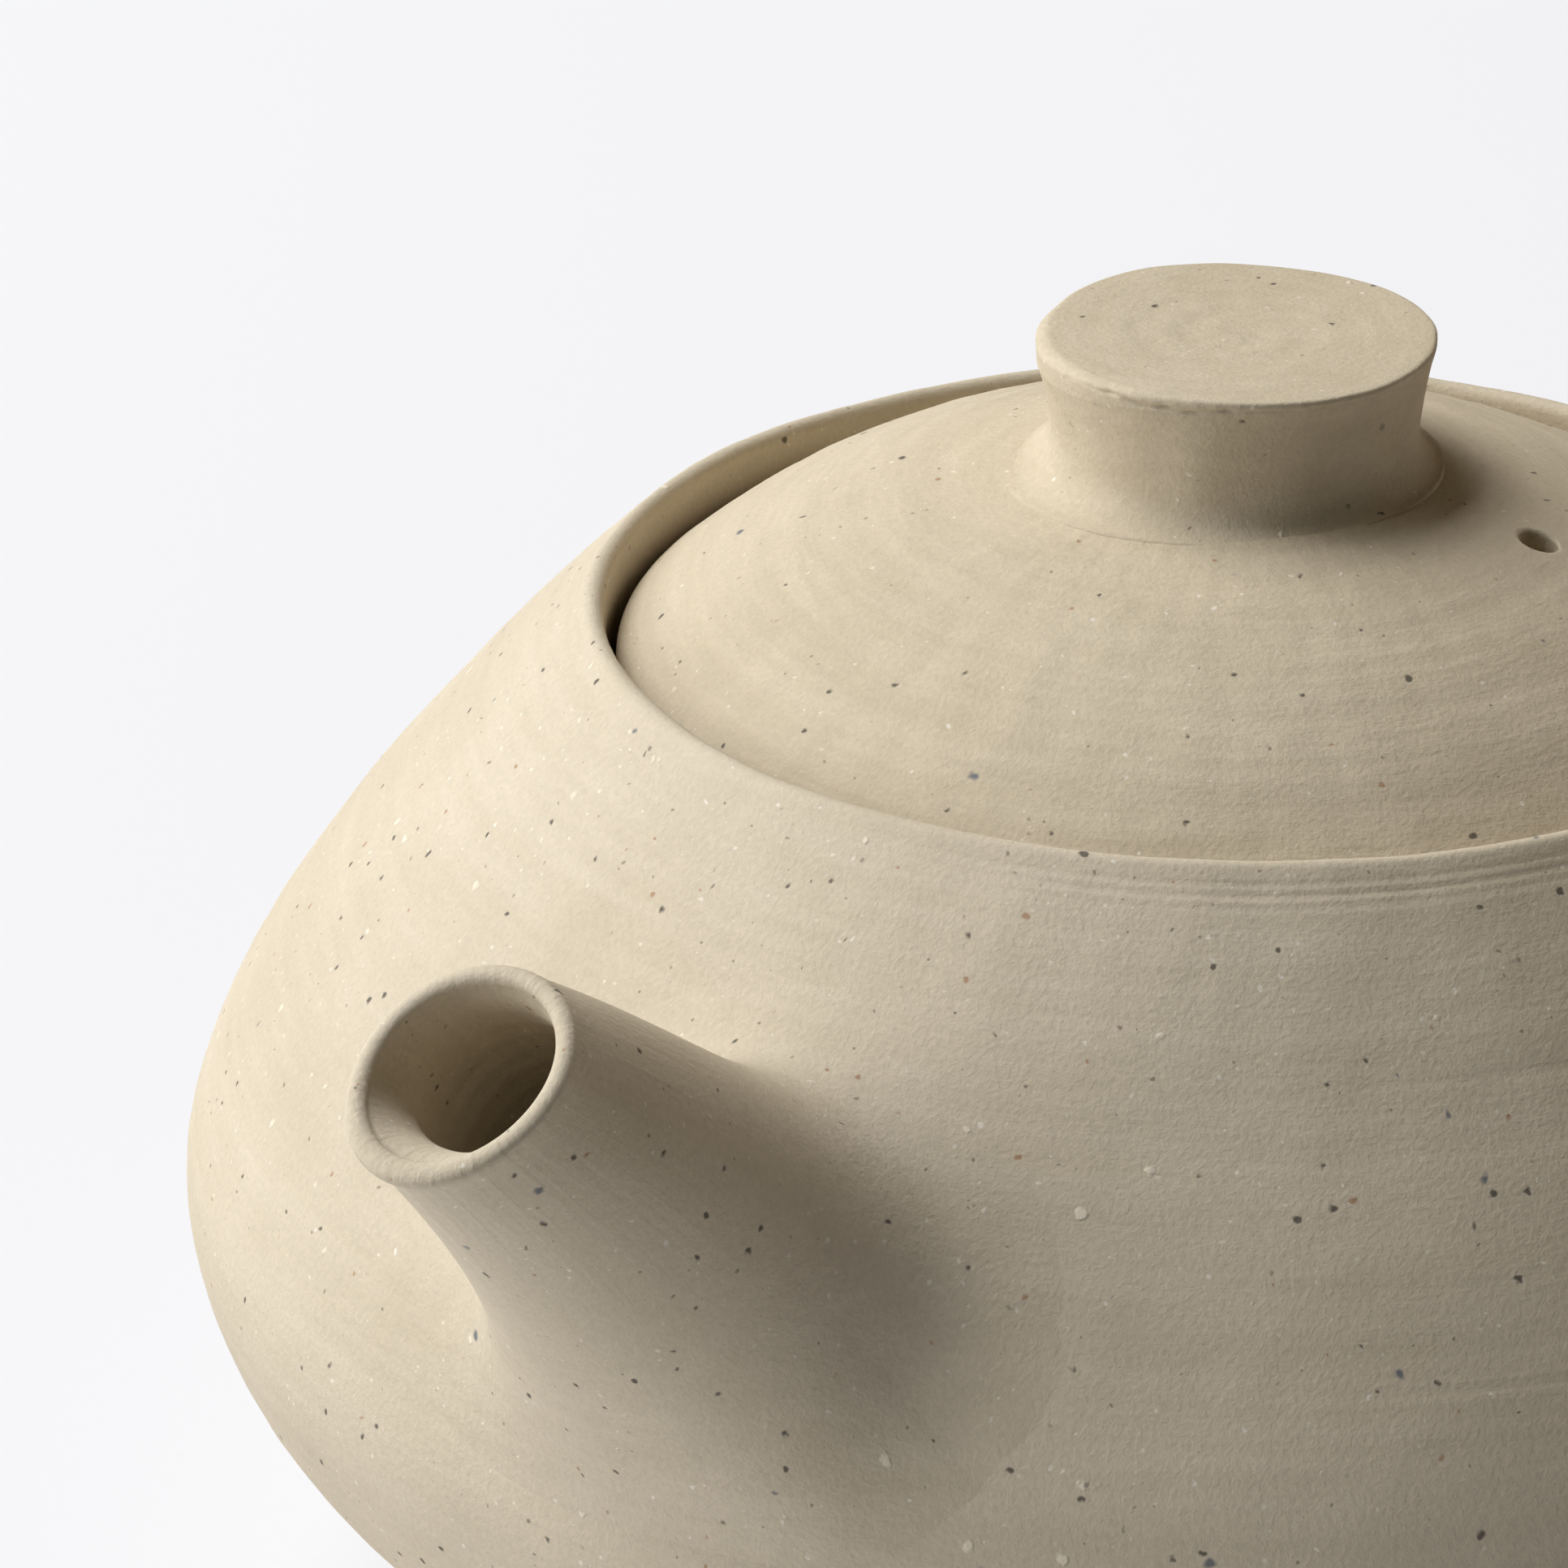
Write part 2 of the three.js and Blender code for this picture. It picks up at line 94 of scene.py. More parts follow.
# %% Grid to mesh
def mesh_of_grid(name, grid, ends="poles", first=None, last=None, flow=None):
    """A closed mesh over a grid of points in millimetres, rows by columns, columns closed on themselves.

    With ends="poles" the first and last rows are fans about the points first and last. With
    ends="meet" the last row joins the first. A flow, one vector a point, is kept as an attribute that
    a material can read where its pattern follows the surface.
    """
    rows, columns = grid.shape[:2]
    index = np.arange(rows * columns).reshape(rows, columns)
    beside = np.roll(index, -1, axis=1)
    below, above = index[:-1], index[1:]
    below_beside, above_beside = beside[:-1], beside[1:]
    quads = np.stack([below, below_beside, above_beside, above], -1).reshape(-1, 4)
    points = grid.reshape(-1, 3)
    fans = np.empty((0, 3), int)
    if ends == "meet":
        joining = np.stack([index[-1], beside[-1], beside[0], index[0]], -1)
        quads = np.vstack([quads, joining])
    else:
        start, stop = len(points), len(points) + 1
        points = np.vstack([points, first, last])
        fans = np.vstack([
            np.stack([np.full(columns, start), beside[0], index[0]], -1),
            np.stack([np.full(columns, stop), index[-1], beside[-1]], -1),
        ])
    mesh = bpy.data.meshes.new(name)
    mesh.from_pydata(points * MM, [], quads.tolist() + fans.tolist())
    mesh.shade_smooth()
    if flow is not None:
        values = np.zeros((len(points), 3))
        values[:rows * columns] = flow.reshape(-1, 3)
        mesh.attributes.new("flow", "FLOAT_VECTOR", "POINT").data.foreach_set("vector", values.ravel())
    return mesh


def add_piece(name, mesh):
    """An object at the origin with its place in its mesh, faces turned outwards."""
    piece = bpy.data.objects.new(name, outward(mesh))
    bpy.context.scene.collection.objects.link(piece)
    print(name, len(mesh.polygons), "faces", round(signed_volume(mesh) * 1e6, 1), "cm3")
    return piece


def signed_volume(mesh):
    """The volume that the mesh's triangles enclose: a sixth of the sum of corner triple products."""
    mesh.calc_loop_triangles()
    corners = np.empty(len(mesh.vertices) * 3)
    mesh.vertices.foreach_get("co", corners)
    corners = corners.reshape(-1, 3)
    triangles = np.empty(len(mesh.loop_triangles) * 3, int)
    mesh.loop_triangles.foreach_get("vertices", triangles)
    a, b, c = corners[triangles.reshape(-1, 3)].transpose(1, 0, 2)
    return float(np.einsum("ij,ij->", a, np.cross(b, c)) / 6)


def outward(mesh):
    """The mesh with its faces turned outwards, which makes its signed volume positive."""
    if signed_volume(mesh) < 0:
        mesh.flip_normals()
    return mesh


# %% [markdown]
# ## Profiles
#
# A thrown pot is a profile turned about an axis. A profile here is an array of rows, each with a
# radius, a height and a weight. The weight says how much of the potter's traces that stretch carries:
# one on the skin that the fingers and ribs touched, nothing inside.


# %% Profile helpers
def bezier(start, leave, arrive, end, shares):
    """A cubic Bezier curve at some shares of its run: four points blended by the Bernstein weights.

    The four may be single points or whole rings of points, which gives a curve for each.
    """
    p = [np.asarray(q, float) for q in (start, leave, arrive, end)]
    t = np.asarray(shares, float).reshape(-1, *[1] * p[0].ndim)
    return (1 - t) ** 3 * p[0] + 3 * t * (1 - t) ** 2 * p[1] + 3 * t**2 * (1 - t) * p[2] + t**3 * p[3]


def polar(length, angle):
    """A step of a length at an angle above the outward direction, as (radius, height)."""
    return np.array([length * math.cos(angle), length * math.sin(angle)])


def softened(corners, cuts, rows=7):
    """A line through corners, each corner replaced by a quadratic Bezier that starts a cut before it."""
    corners = np.asarray(corners, float)
    t = np.linspace(0, 1, rows)[:, None]
    parts = [corners[:1]]
    for before, corner, after, cut in zip(corners, corners[1:], corners[2:], cuts):
        enter = corner + cut * (before - corner) / np.linalg.norm(before - corner)
        leave = corner + cut * (after - corner) / np.linalg.norm(after - corner)
        parts.append((1 - t) ** 2 * enter + 2 * t * (1 - t) * corner + t**2 * leave)
    parts.append(corners[-1:])
    return np.vstack(parts)


def weighted(line, weight):
    """A line of (radius, height) rows with one weight added to each row."""
    return np.column_stack([line, np.full(len(line), float(weight))])


def respaced(profile, gap):
    """The profile walked again in steps of gap(radius, height) millimetres, by its running length."""
    steps = np.linalg.norm(np.diff(profile[:, :2], axis=0), axis=1)
    middles = (profile[1:, :2] + profile[:-1, :2]) / 2
    count = np.concatenate([[0], np.cumsum(steps / gap(middles[:, 0], middles[:, 1]))])
    keep = np.concatenate([[True], np.diff(count) > 1e-9])
    wanted = np.linspace(0, count[-1], int(count[-1]) + 1)
    return np.column_stack([np.interp(wanted, count[keep], profile[keep, i]) for i in range(3)])


def turned(profile, columns, traces):
    """The profile carried round the axis, each point moved along the profile's normal by its traces.

    A point is (r sin a, -r cos a, z) with the azimuth a counted from the spout towards the handle.
    """
    azimuth = np.linspace(0, 2 * np.pi, columns, endpoint=False)[None, :]
    r, z, weight = (profile[:, i][:, None] for i in range(3))
    along = np.gradient(profile[:, :2], axis=0)
    along /= np.linalg.norm(along, axis=1)[:, None]
    moved = weight * traces(azimuth, r, z)
    r_moved, z_moved = r + moved * along[:, 1:2], z - moved * along[:, 0:1]
    return np.stack([
        r_moved * np.sin(azimuth), -r_moved * np.cos(azimuth), z_moved * np.ones_like(azimuth),
    ], -1)


# %% [markdown]
# ## The camera
#
# The view is a close one, from the spout's side and a little above, with a long lens. The camera's
# place was worked out from the pot's own circles: the crest, the knob's top and the belly's outline.

# %% Camera
view_azimuth = math.radians(35.5)
view_elevation = math.radians(24.52)
view_roll = math.radians(0.44)
view_distance = 347.33
view_right = -23.07
view_up = 18.67
focal_share = 8000 / 1932  # focal length over the picture's width
sensor_width = 36.0

forward = Vector((
    -math.sin(view_azimuth) * math.cos(view_elevation),
    math.cos(view_azimuth) * math.cos(view_elevation),
    -math.sin(view_elevation),
))
right = Vector((math.cos(view_azimuth), math.sin(view_azimuth), 0))
up = right.cross(forward)
camera_data = bpy.data.cameras.new("view")
camera_data.sensor_width = sensor_width
camera_data.lens = sensor_width * focal_share
camera_data.clip_start = 0.01
camera = bpy.data.objects.new("view", camera_data)
bpy.context.scene.collection.objects.link(camera)
camera.location = (
    Vector((0, 0, belly_height)) - view_distance * forward + view_right * right + view_up * up
) * MM
camera.rotation_mode = "QUATERNION"
camera.rotation_quaternion = forward.to_track_quat("-Z", "Y") @ Quaternion((0, 0, 1), -view_roll)
bpy.context.scene.camera = camera
print("camera at", [round(v, 4) for v in camera.location], "lens", round(camera_data.lens, 1))

# %% [markdown]
# ## The body
#
# The body is thrown in one piece: a flat foot, a lens-shaped belly, a shoulder that runs up to a sharp
# crest, and inside the crest a gallery that carries the lid. Its outline is two Bezier curves that meet
# upright at the belly. The inner wall is the same outline moved in by the wall's thickness.

# %% Body outline
crest_slope = math.radians(45)
foot_slope = math.radians(22)
crest_centre = np.array([crest_radius, crest_height - rim_round])
crest_outer = crest_centre + polar(rim_round, math.pi / 2 - crest_slope)
foot_top = np.array([foot_radius, foot_bevel])
belly = np.array([belly_radius, belly_height])
outline_rows = 200


def body_outline():
    """The hip and the shoulder, from the foot's bevel up to the crest, as (radius, height) rows."""
    shares = np.linspace(0, 1, outline_rows)
    hip = bezier(foot_top, foot_top + polar(10, foot_slope), belly - [0, 11], belly, shares)
    shoulder = bezier(
        belly, belly + [0, 10.5], crest_outer + polar(2.5, -crest_slope), crest_outer, shares
    )
    return np.vstack([hip, shoulder[1:]])


def moved_in(line, distance):
    """A line moved along its normals, towards the axis for a line that climbs."""
    along = np.gradient(line, axis=0)
    along /= np.linalg.norm(along, axis=1)[:, None]
    return line + distance * np.column_stack([-along[:, 1], along[:, 0]])


outline = body_outline()


def skin_radius(z):
    """The body's outer radius at a height."""
    return np.interp(z, outline[:, 1], outline[:, 0])


# %% [markdown]
# ### Traces of throwing
#
# A thrown wall is never quite round. Broad swells come from the hands, close rings from the fingertips
# and the rib, and a few lines were cut by a grain caught under the rib. Each is a sum of sines in height
# and azimuth, in millimetres, and the cut lines are narrow dips.

# %% Traces on the body
rim_lines = ((0.62, 0.1, 0.055), (1.05, 0.12, 0.07), (1.5, 0.11, 0.045))  # below the crest, width, depth
cut_lines = (  # height, width, depth, azimuth in degrees
    (50.6, 0.15, 0.11, 68), (39.5, 0.15, 0.10, 62), (36.6, 0.13, 0.09, 74),
)
shoulder_radius = 45.0


def hump(away, width):
    """A bell: one where away is nothing, and almost nothing two widths to either side."""
    return np.exp(-((away / width) ** 2))


def window(azimuth, middle, spread):
    """A hump round the pot, about an azimuth in degrees."""
    away = (azimuth - math.radians(middle) + np.pi) % (2 * np.pi) - np.pi
    return hump(away, math.radians(spread))


def uneven(azimuth, height, wave, seed, count=20):
    """Gentle unevenness with a spread of one: seeded waves of about one length, summed.

    Each has a whole number of crests round the pot, worked out at the shoulder's radius.
    """
    draw = np.random.default_rng(seed)
    lean, phase = draw.uniform(0, 2 * np.pi, (2, count))
    length = wave * draw.uniform(0.7, 1.4, count)
    crests = np.round(2 * np.pi * shoulder_radius * np.cos(lean) / length)
    climb = 2 * np.pi * np.sin(lean) / length
    waves = sum(np.cos(n * azimuth + k * height + p) for n, k, p in zip(crests, climb, phase))
    return waves * (2 / count) ** 0.5


def body_traces(azimuth, r, z):
    """Swells, finger rings, the lines under the rim and the cut lines, as an outward distance."""
    swell = 0.14 * np.sin(2 * azimuth + 0.7) + 0.08 * np.sin(3 * azimuth + 2.1 + z / 17)
    rings = (
        0.006 * np.sin(2 * np.pi * z / 2.6 + azimuth)
        + 0.009 * np.sin(2 * np.pi * z / 4.3 + 1.3 + 0.5 * np.sin(azimuth + 2))
        + 0.025 * np.sin(2 * np.pi * z / 8.7 + 0.4 + 0.6 * np.sin(2 * azimuth))
    )
    below = crest_height - z
    lines = sum(
        depth * hump(below - at - 0.12 * np.sin(azimuth * 2 + at), width)
        for at, width, depth in rim_lines
    )
    lines = lines * (0.25 + 0.75 * window(azimuth, 45, 38))
    cuts = sum(
        depth * hump(z - at - 0.3 * np.sin(azimuth + at), width) * window(azimuth, middle, 16)
        for at, width, depth, middle in cut_lines
    )
    crest = 0.09 * hump(below, 0.7) * (np.sin(7 * azimuth) + np.sin(11 * azimuth + 1)) / 2
    rough = 0.014 * uneven(azimuth, z, 7.0, 3) + 0.007 * uneven(azimuth, z, 2.6, 4)
    return swell * np.clip(below / 12, 0, 1) + rings + rough - lines - cuts + crest


# %% Body profile
def body_profile():
    """The whole section: foot, outline, crest, gallery, ledge, neck, inner wall and floor."""
    foot = softened([[0.5, 0], [foot_radius - foot_bevel, 0], foot_top], [0.6])
    arc = np.linspace(crest_slope, -math.pi / 2, 9)[:, None]
    crest = crest_centre + rim_round * np.hstack([np.sin(arc), np.cos(arc)])
    ledge_top = crest_height - gallery_depth
    ledge_bottom = ledge_top - ledge_thickness
    inner = moved_in(outline, wall)
    inner = inner[(inner[:, 1] > floor_thickness + 3) & (inner[:, 1] < ledge_bottom - ledge_drop - 2)][::-1]
    gallery = softened(
        [
            crest[-1], [gallery_radius, ledge_top], [neck_radius, ledge_top],
            [neck_radius, ledge_bottom], inner[0] + [-1.2, 2.0], inner[0],
        ],
        [0.7, 0.5, 0.8, 1.2],
    )
    floor = softened([inner[-1], inner[-1] - polar(4.2, math.radians(32)), [0.5, floor_thickness]], [2.5])
    return np.vstack([
        weighted(foot[:-1], 0), weighted(outline, 1), weighted(crest[1:-1], 0.8),
        weighted(gallery, 0), weighted(inner[1:-1], 0), weighted(floor, 0),
    ])


def body_gap(r, z):
    """Row spacing: fine under the rim and at the cut lines, coarse on the floor and the inner wall."""
    outside = r > skin_radius(z) - 0.6
    near_rim = hump(z - crest_height, 3.4) * (r > gallery_radius - 0.5)
    near_cut = sum(hump(z - at, 0.8) for at, *_ in cut_lines) * outside
    plain = np.where(outside, 0.62, 1.3)
    return 1 / (1 / plain + 5.0 * near_rim + 3.0 * near_cut)


body_columns = 336
profile = respaced(body_profile(), body_gap)
body_mesh = mesh_of_grid(
    "teapot_body", turned(profile, body_columns, body_traces), first=(0, 0, 0), last=(0, 0, floor_thickness)
)
body = add_piece("teapot_body", body_mesh)
print("body profile has", len(profile), "rows")

# %% [markdown]
# ## The spout
#
# The spout is a thrown cone with an oblique mouth. The potter luted it to the belly and smoothed the clay
# until it seemed to grow out of the wall. That is hard to sculpt by hand and easy as a family of curves:
# every curve leaves the mouth along the spout and arrives on the body along the body's own skin, so no
# seam shows. The same family, with other numbers, makes the root of the handle.

# %% Skin and roots
sunk = 0.12  # how far a luted piece's hidden edge lies under the body's skin
root_depth = 2.0  # how far a root's curves run under the skin
melt = 2.2  # how widely the clay is smeared where they cross it, as a height
melt_fade = 2.5  # over what height the lift and the body's traces fade from a root
farthest = 60.0  # from the mouth, beyond every meeting with the skin


def on_skin(azimuth, z, depth=0.0):
    """Points at an azimuth and a height on the body's skin, moved towards the axis by a depth."""
    r = skin_radius(z) - depth
    return np.stack([r * np.sin(azimuth), -r * np.cos(azimuth), z + 0 * azimuth], -1)


def oval(middle, across, up, half_width, rise, fall, angle):
    """A ring of points: half_width times the cosine across, rise or fall times the sine upwards."""
    reach = np.where(np.sin(angle) > 0, rise, fall)
    return (
        middle
        + (half_width * np.cos(angle))[:, None] * across
        + (reach * np.sin(angle))[:, None] * up
    )


def root_curves(ring, leaving, root, angle, leave, arrive, shares):
    """Curves from a ring to an oval root on the body, arriving there along the skin.

    The root's angle runs as the ring's does. A curve is a Bezier: its first handle is a share of the
    straight span, its last a share of the oval's reach.
    """
    azimuth, z, spread, rise, fall = root
    reach = np.where(np.sin(angle) > 0, rise, fall)

    def spot(share):
        return on_skin(
            azimuth + share * spread * np.cos(angle) / belly_radius,
            z + share * reach * np.sin(angle), root_depth,
        )

    end = spot(1)
    outwards = end - spot(0.97)
    outwards /= np.linalg.norm(outwards, axis=1)[:, None]
    first = (leave * np.linalg.norm(end - ring, axis=1))[:, None] * leaving
    last = (arrive * np.linalg.norm(end - spot(0), axis=1))[:, None] * outwards
    return bezier(ring, ring + first, end - last, end, shares)


def azimuth_of(points):
    """The azimuth of points, counted from the spout towards the handle."""
    return np.arctan2(points[..., 0], -points[..., 1])


def under_skin(ring, other, rows):
    """Rows on the sunk skin from one ring to another, straight in azimuth and height."""
    share = np.linspace(0, 1, rows + 2)[1:-1, None]
    azimuth = azimuth_of(ring) * (1 - share) + azimuth_of(other) * share
    return on_skin(azimuth, ring[:, 2] * (1 - share) + other[:, 2] * share, sunk)


def meeting(place, near, far, depth=0.0):
    """How far along place(distance) the points reach the skin, or a depth under it, found by halving."""
    for _ in range(40):
        middle = (near + far) / 2
        points = place(middle)
        outside = np.hypot(points[..., 0], points[..., 1]) > skin_radius(points[..., 2]) - depth
        near, far = np.where(outside, middle, near), np.where(outside, far, middle)
    return (near + far) / 2


def melted(curves):
    """The curves smeared onto the skin, and moved by the body's own traces where they are close to it.

    The height h over the skin becomes (h + sqrt(h * h + melt * melt)) / 2, a bend instead of a corner,
    less a lift that fades with the height and leaves the hidden edge just under the skin.
    """
    z = curves[..., 2]
    slope = np.gradient(outline, axis=0)
    slope /= np.linalg.norm(slope, axis=1)[:, None]
    normal_r = np.interp(z, outline[:, 1], slope[:, 1])
    normal_z = -np.interp(z, outline[:, 1], slope[:, 0])
    azimuth = azimuth_of(curves)
    r = np.hypot(curves[..., 0], curves[..., 1])
    height = (r - skin_radius(z)) * normal_r
    smeared = (height + np.hypot(height, melt)) / 2
    lift = smeared[-1] + sunk
    smeared = smeared - lift * np.exp(-np.clip(height - height[-1], 0, None) / melt_fade)
    near = hump(np.clip(height, 0, None), melt_fade)
    amount = smeared - height + near * body_traces(azimuth, r, z)
    normal = np.stack([normal_r * np.sin(azimuth), -normal_r * np.cos(azimuth), normal_z], -1)
    return curves + amount[..., None] * normal


# %% Spout sizes
mouth_tilt = math.radians(57.9)  # elevation of the mouth's normal
spout_slope = math.radians(41.8)
bore_slope = math.radians(47)
mouth_middle = np.array([0, -(belly_radius + 9.5), crest_height - 0.4])
mouth_normal = np.array([0, -math.cos(mouth_tilt), math.sin(mouth_tilt)])
mouth_up = np.array([0, math.sin(mouth_tilt), math.cos(mouth_tilt)])
across_spout = np.array([1.0, 0, 0])
down_spout = np.array([0, math.cos(spout_slope), -math.sin(spout_slope)])
down_bore = np.array([0, math.cos(bore_slope), -math.sin(bore_slope)])
across_bore = np.array([0, math.sin(bore_slope), math.cos(bore_slope)])
mouth_half_width = 5.2
mouth_heel = 5.5  # from the mouth's middle up to its upper edge
mouth_lip = 5.9  # and down to the pouring lip
spout_taper = (0.18, 0.09, 0.2, 0.13)  # how fast it widens on top, left, right and underneath
spout_leave = (0.75, 0.63)  # handle shares on top and underneath
spout_arrive = (0.44, 0.72)
spout_root_height = 29.4
spout_root_top = crest_height - 3.7
spout_root = (  # azimuth, height, spread, rise, fall
    math.radians(4.4), spout_root_height, 33.6, spout_root_top - spout_root_height, 16.9,
)
lip_wall = 1.0
lip_crown = 0.42  # height of the rounded edge
bore_mouth = 3.7
bore_root = 6.2
funnel_depth = 3.4
chute_step = 0.7  # how far the clay stands into the bore below the pouring lip
chute_fade = 6.0  # over what length that step runs out
finger_ring = 0.07  # height of the rings that a finger left in the bore
finger_pitch = 1.7
spout_columns = 176
spout_angle = np.linspace(0, 2 * np.pi, spout_columns, endpoint=False)
pouring = np.clip(-np.sin(spout_angle), 0, 1) ** 3  # one at the pouring lip


# %% Bore
def bore_axis(distance):
    """Points down the bore's axis."""
    return mouth_middle + np.asarray(distance)[..., None] * down_bore


skin_depth = float(meeting(bore_axis, 0.0, farthest))
print("the bore meets the body", round(skin_depth, 1), "mm down its axis")


def bore_ring(distance, angle, extra=0.0):
    """A ring of the bore, a cone that widens evenly from the mouth to the body, with finger rings."""
    distance = np.asarray(distance, float)
    radius = bore_mouth + (bore_root - bore_mouth) * distance / skin_depth + extra
    rings = finger_ring * np.sin(2 * np.pi * distance / finger_pitch)
    radius = radius + rings * np.clip(distance / 4, 0, 1)
    across = (radius * np.cos(angle))[..., None] * across_spout
    up = (radius * np.sin(angle))[..., None] * across_bore
    return bore_axis(distance) + across + up


bore_end = meeting(lambda distance: bore_ring(distance, spout_angle), 5.0, farthest, depth=sunk)


# %% Spout surface
def spout_grid():
    """Root to mouth outside, over the rounded lip, down the funnel and the bore, and back under the skin."""
    mouth = oval(mouth_middle, across_spout, mouth_up, mouth_half_width, mouth_heel, mouth_lip, spout_angle)
    radial = mouth - mouth_middle
    radial /= np.linalg.norm(radial, axis=1)[:, None]
    sideways, rising = np.cos(spout_angle), np.sin(spout_angle)
    on_top, at_left, at_right, underneath = spout_taper
    taper = (
        np.where(sideways > 0, at_right, at_left) * sideways**2
        + np.where(rising > 0, on_top, underneath) * rising**2
    )
    leaving = down_spout + taper[:, None] * radial
    leaving /= np.linalg.norm(leaving, axis=1)[:, None]
    shares = np.linspace(0, 1, 118) ** 1.3
    edge = mouth - lip_crown * mouth_normal
    leave, arrive = (low + (high - low) * (1 + rising) / 2 for high, low in (spout_leave, spout_arrive))
    outside = melted(root_curves(edge, leaving, spout_root, spout_angle, leave, arrive, shares))
    from_mouth = np.linalg.norm(outside - edge, axis=-1)
    flare = 0.08 + 0.3 * pouring
    outside = outside + (flare * hump(from_mouth, 0.7))[..., None] * radial
    wall_here = (lip_wall + 0.3 * pouring)[:, None]
    middle = outside[0] - radial * wall_here / 2
    turn = np.linspace(0, np.pi, 14)[1:-1, None, None]
    lip = middle + np.cos(turn) * radial * wall_here / 2 + np.sin(turn) * lip_crown * mouth_normal
    inner = middle - radial * wall_here / 2
    chute = np.clip(-np.sin(spout_angle), 0, 1)[:, None] ** 2
    start = funnel_depth - 0.9 * chute[:, 0]
    steps = np.linspace(0, 1, 40)[:, None]
    distance = start + steps * (bore_end - start)
    step = -chute_step * chute[:, 0] * hump(distance - start, chute_fade)
    bore = bore_ring(distance, spout_angle, step)
    deep = bore[0]
    leave = inner - (0.9 - 0.5 * chute) * mouth_normal - 1.3 * chute * radial
    arrive = deep - (1.4 - 0.8 * chute) * down_bore
    funnel = bezier(inner, leave, arrive, deep, np.linspace(0, 1, 18))[:-1]
    hidden = under_skin(bore[-1], outside[-1], 6)
    grid = np.concatenate([outside[::-1], lip, funnel, bore, hidden])
    walk = np.concatenate([[0], np.cumsum(np.linalg.norm(np.diff(grid, axis=0), axis=2).mean(1))])
    walk = np.abs(walk - walk[len(outside) - 1])
    flow = np.empty(grid.shape)
    flow[..., 0], flow[..., 1], flow[..., 2] = np.cos(spout_angle), np.sin(spout_angle), walk[:, None]
    return grid, flow


spout_points, spout_flow = spout_grid()
spout = add_piece("spout_shell", mesh_of_grid("spout_shell", spout_points, ends="meet", flow=spout_flow))

# %% [markdown]
# ### The opening behind the spout
#
# The bore goes on through the body's wall. The potter cuts it with a needle before the spout is luted on;
# here a Boolean does it with a plug of the bore's own shape, a hair wider, and its result is kept.


# %% Cut the opening
def cut_away(piece, cutter_mesh, crisp):
    """Take a mesh's space out of a piece, and mark edges sharper than an angle in degrees as crisp."""
    cutter = bpy.data.objects.new("cutter", cutter_mesh)
    bpy.context.scene.collection.objects.link(cutter)
    cut = piece.modifiers.new("cut", "BOOLEAN")
    cut.solver = "EXACT"
    cut.object = cutter
    finished = bpy.data.meshes.new_from_object(piece.evaluated_get(bpy.context.evaluated_depsgraph_get()))
    piece.modifiers.clear()
    piece.data = finished
    finished.set_sharp_from_angle(angle=math.radians(crisp))
    bpy.data.objects.remove(cutter)
    print(piece.name, "cut, now", len(finished.polygons), "faces")


plug_start, plug_end = skin_depth - 12.0, skin_depth + 13.0
plug_columns = 96
plug_clearance = 0.1
plug_angle = np.linspace(0, 2 * np.pi, plug_columns, endpoint=False)
plug_rows = np.linspace(plug_start, plug_end, 12)[:, None] * np.ones(plug_columns)
plug = outward(mesh_of_grid(
    "plug", bore_ring(plug_rows, plug_angle, plug_clearance),
    first=bore_axis(plug_start), last=bore_axis(plug_end),
))
cut_away(body, plug, crisp=35)

# %% [markdown]
# ## The strainer
#
# Behind the opening sits a pierced dome of clay that keeps the leaves in the pot. It is part of a hollow
# ball, its rim luted to the wall with a small bead. The holes lie in rings round the middle one, six more
# in each, as a potter pricks them with a straw or a drill.

# %% Strainer surface
strainer_slope = math.radians(51)
strainer_down = np.array([0, math.cos(strainer_slope), -math.sin(strainer_slope)])
strainer_up = np.array([0, math.sin(strainer_slope), math.cos(strainer_slope)])
strainer_depth = meeting(lambda distance: mouth_middle + distance * strainer_down, 0.0, farthest)
strainer_radius = 12.6
strainer_wall = 1.8
strainer_rings = 5
strainer_pitch = 2.15
strainer_hole = 0.62  # radius of a hole
strainer_sunk = 0.2  # how far the rim runs into the wall
bead_height = 0.9
bead_width = 1.3
strainer_middle = mouth_middle + strainer_depth * strainer_down
inner_wall = moved_in(outline, wall)


def inner_radius(z):
    """The radius of the cavity's wall at a height."""
    return np.interp(z, inner_wall[:, 1], inner_wall[:, 0])


def ball(radius, lean, turn):
    """Points of a ball about the strainer's middle, a lean away from its own line."""
    out = (
        np.cos(lean)[..., None] * strainer_down
        + (np.sin(lean) * np.cos(turn))[..., None] * across_spout
        + (np.sin(lean) * np.sin(turn))[..., None] * strainer_up
    )
    return strainer_middle + np.asarray(radius)[..., None] * out


def strainer_grid(columns=132, rows=34):
    """The dome's inward face from its pole to the wall, then its other face back to the pole."""
    turn = np.linspace(0, 2 * np.pi, columns, endpoint=False)

    def lean_at_wall(radius):
        near, far = np.zeros(columns), np.full(columns, 2.0)
        for _ in range(40):
            middle = (near + far) / 2
            points = ball(np.full(columns, radius), middle, turn)
            inside = np.hypot(points[:, 0], points[:, 1]) < inner_radius(points[:, 2]) + strainer_sunk
            near, far = np.where(inside, middle, near), np.where(inside, far, middle)
        return near

    share = np.linspace(0.02, 1, rows)[:, None]
    outer_lean = share * lean_at_wall(strainer_radius)
    bead = bead_height * hump((1 - share) * outer_lean[-1] * strainer_radius, bead_width)
    bead = bead * (1 + 0.25 * np.sin(5 * turn) + 0.15 * np.sin(11 * turn + 1))
    outer = ball(strainer_radius + bead, outer_lean, turn * np.ones_like(outer_lean))
    inner_radius_here = strainer_radius - strainer_wall
    inner_lean = share[::-1] * lean_at_wall(inner_radius_here)
    inner = ball(np.full(inner_lean.shape, inner_radius_here), inner_lean, turn * np.ones_like(inner_lean))
    return np.concatenate([outer, inner])


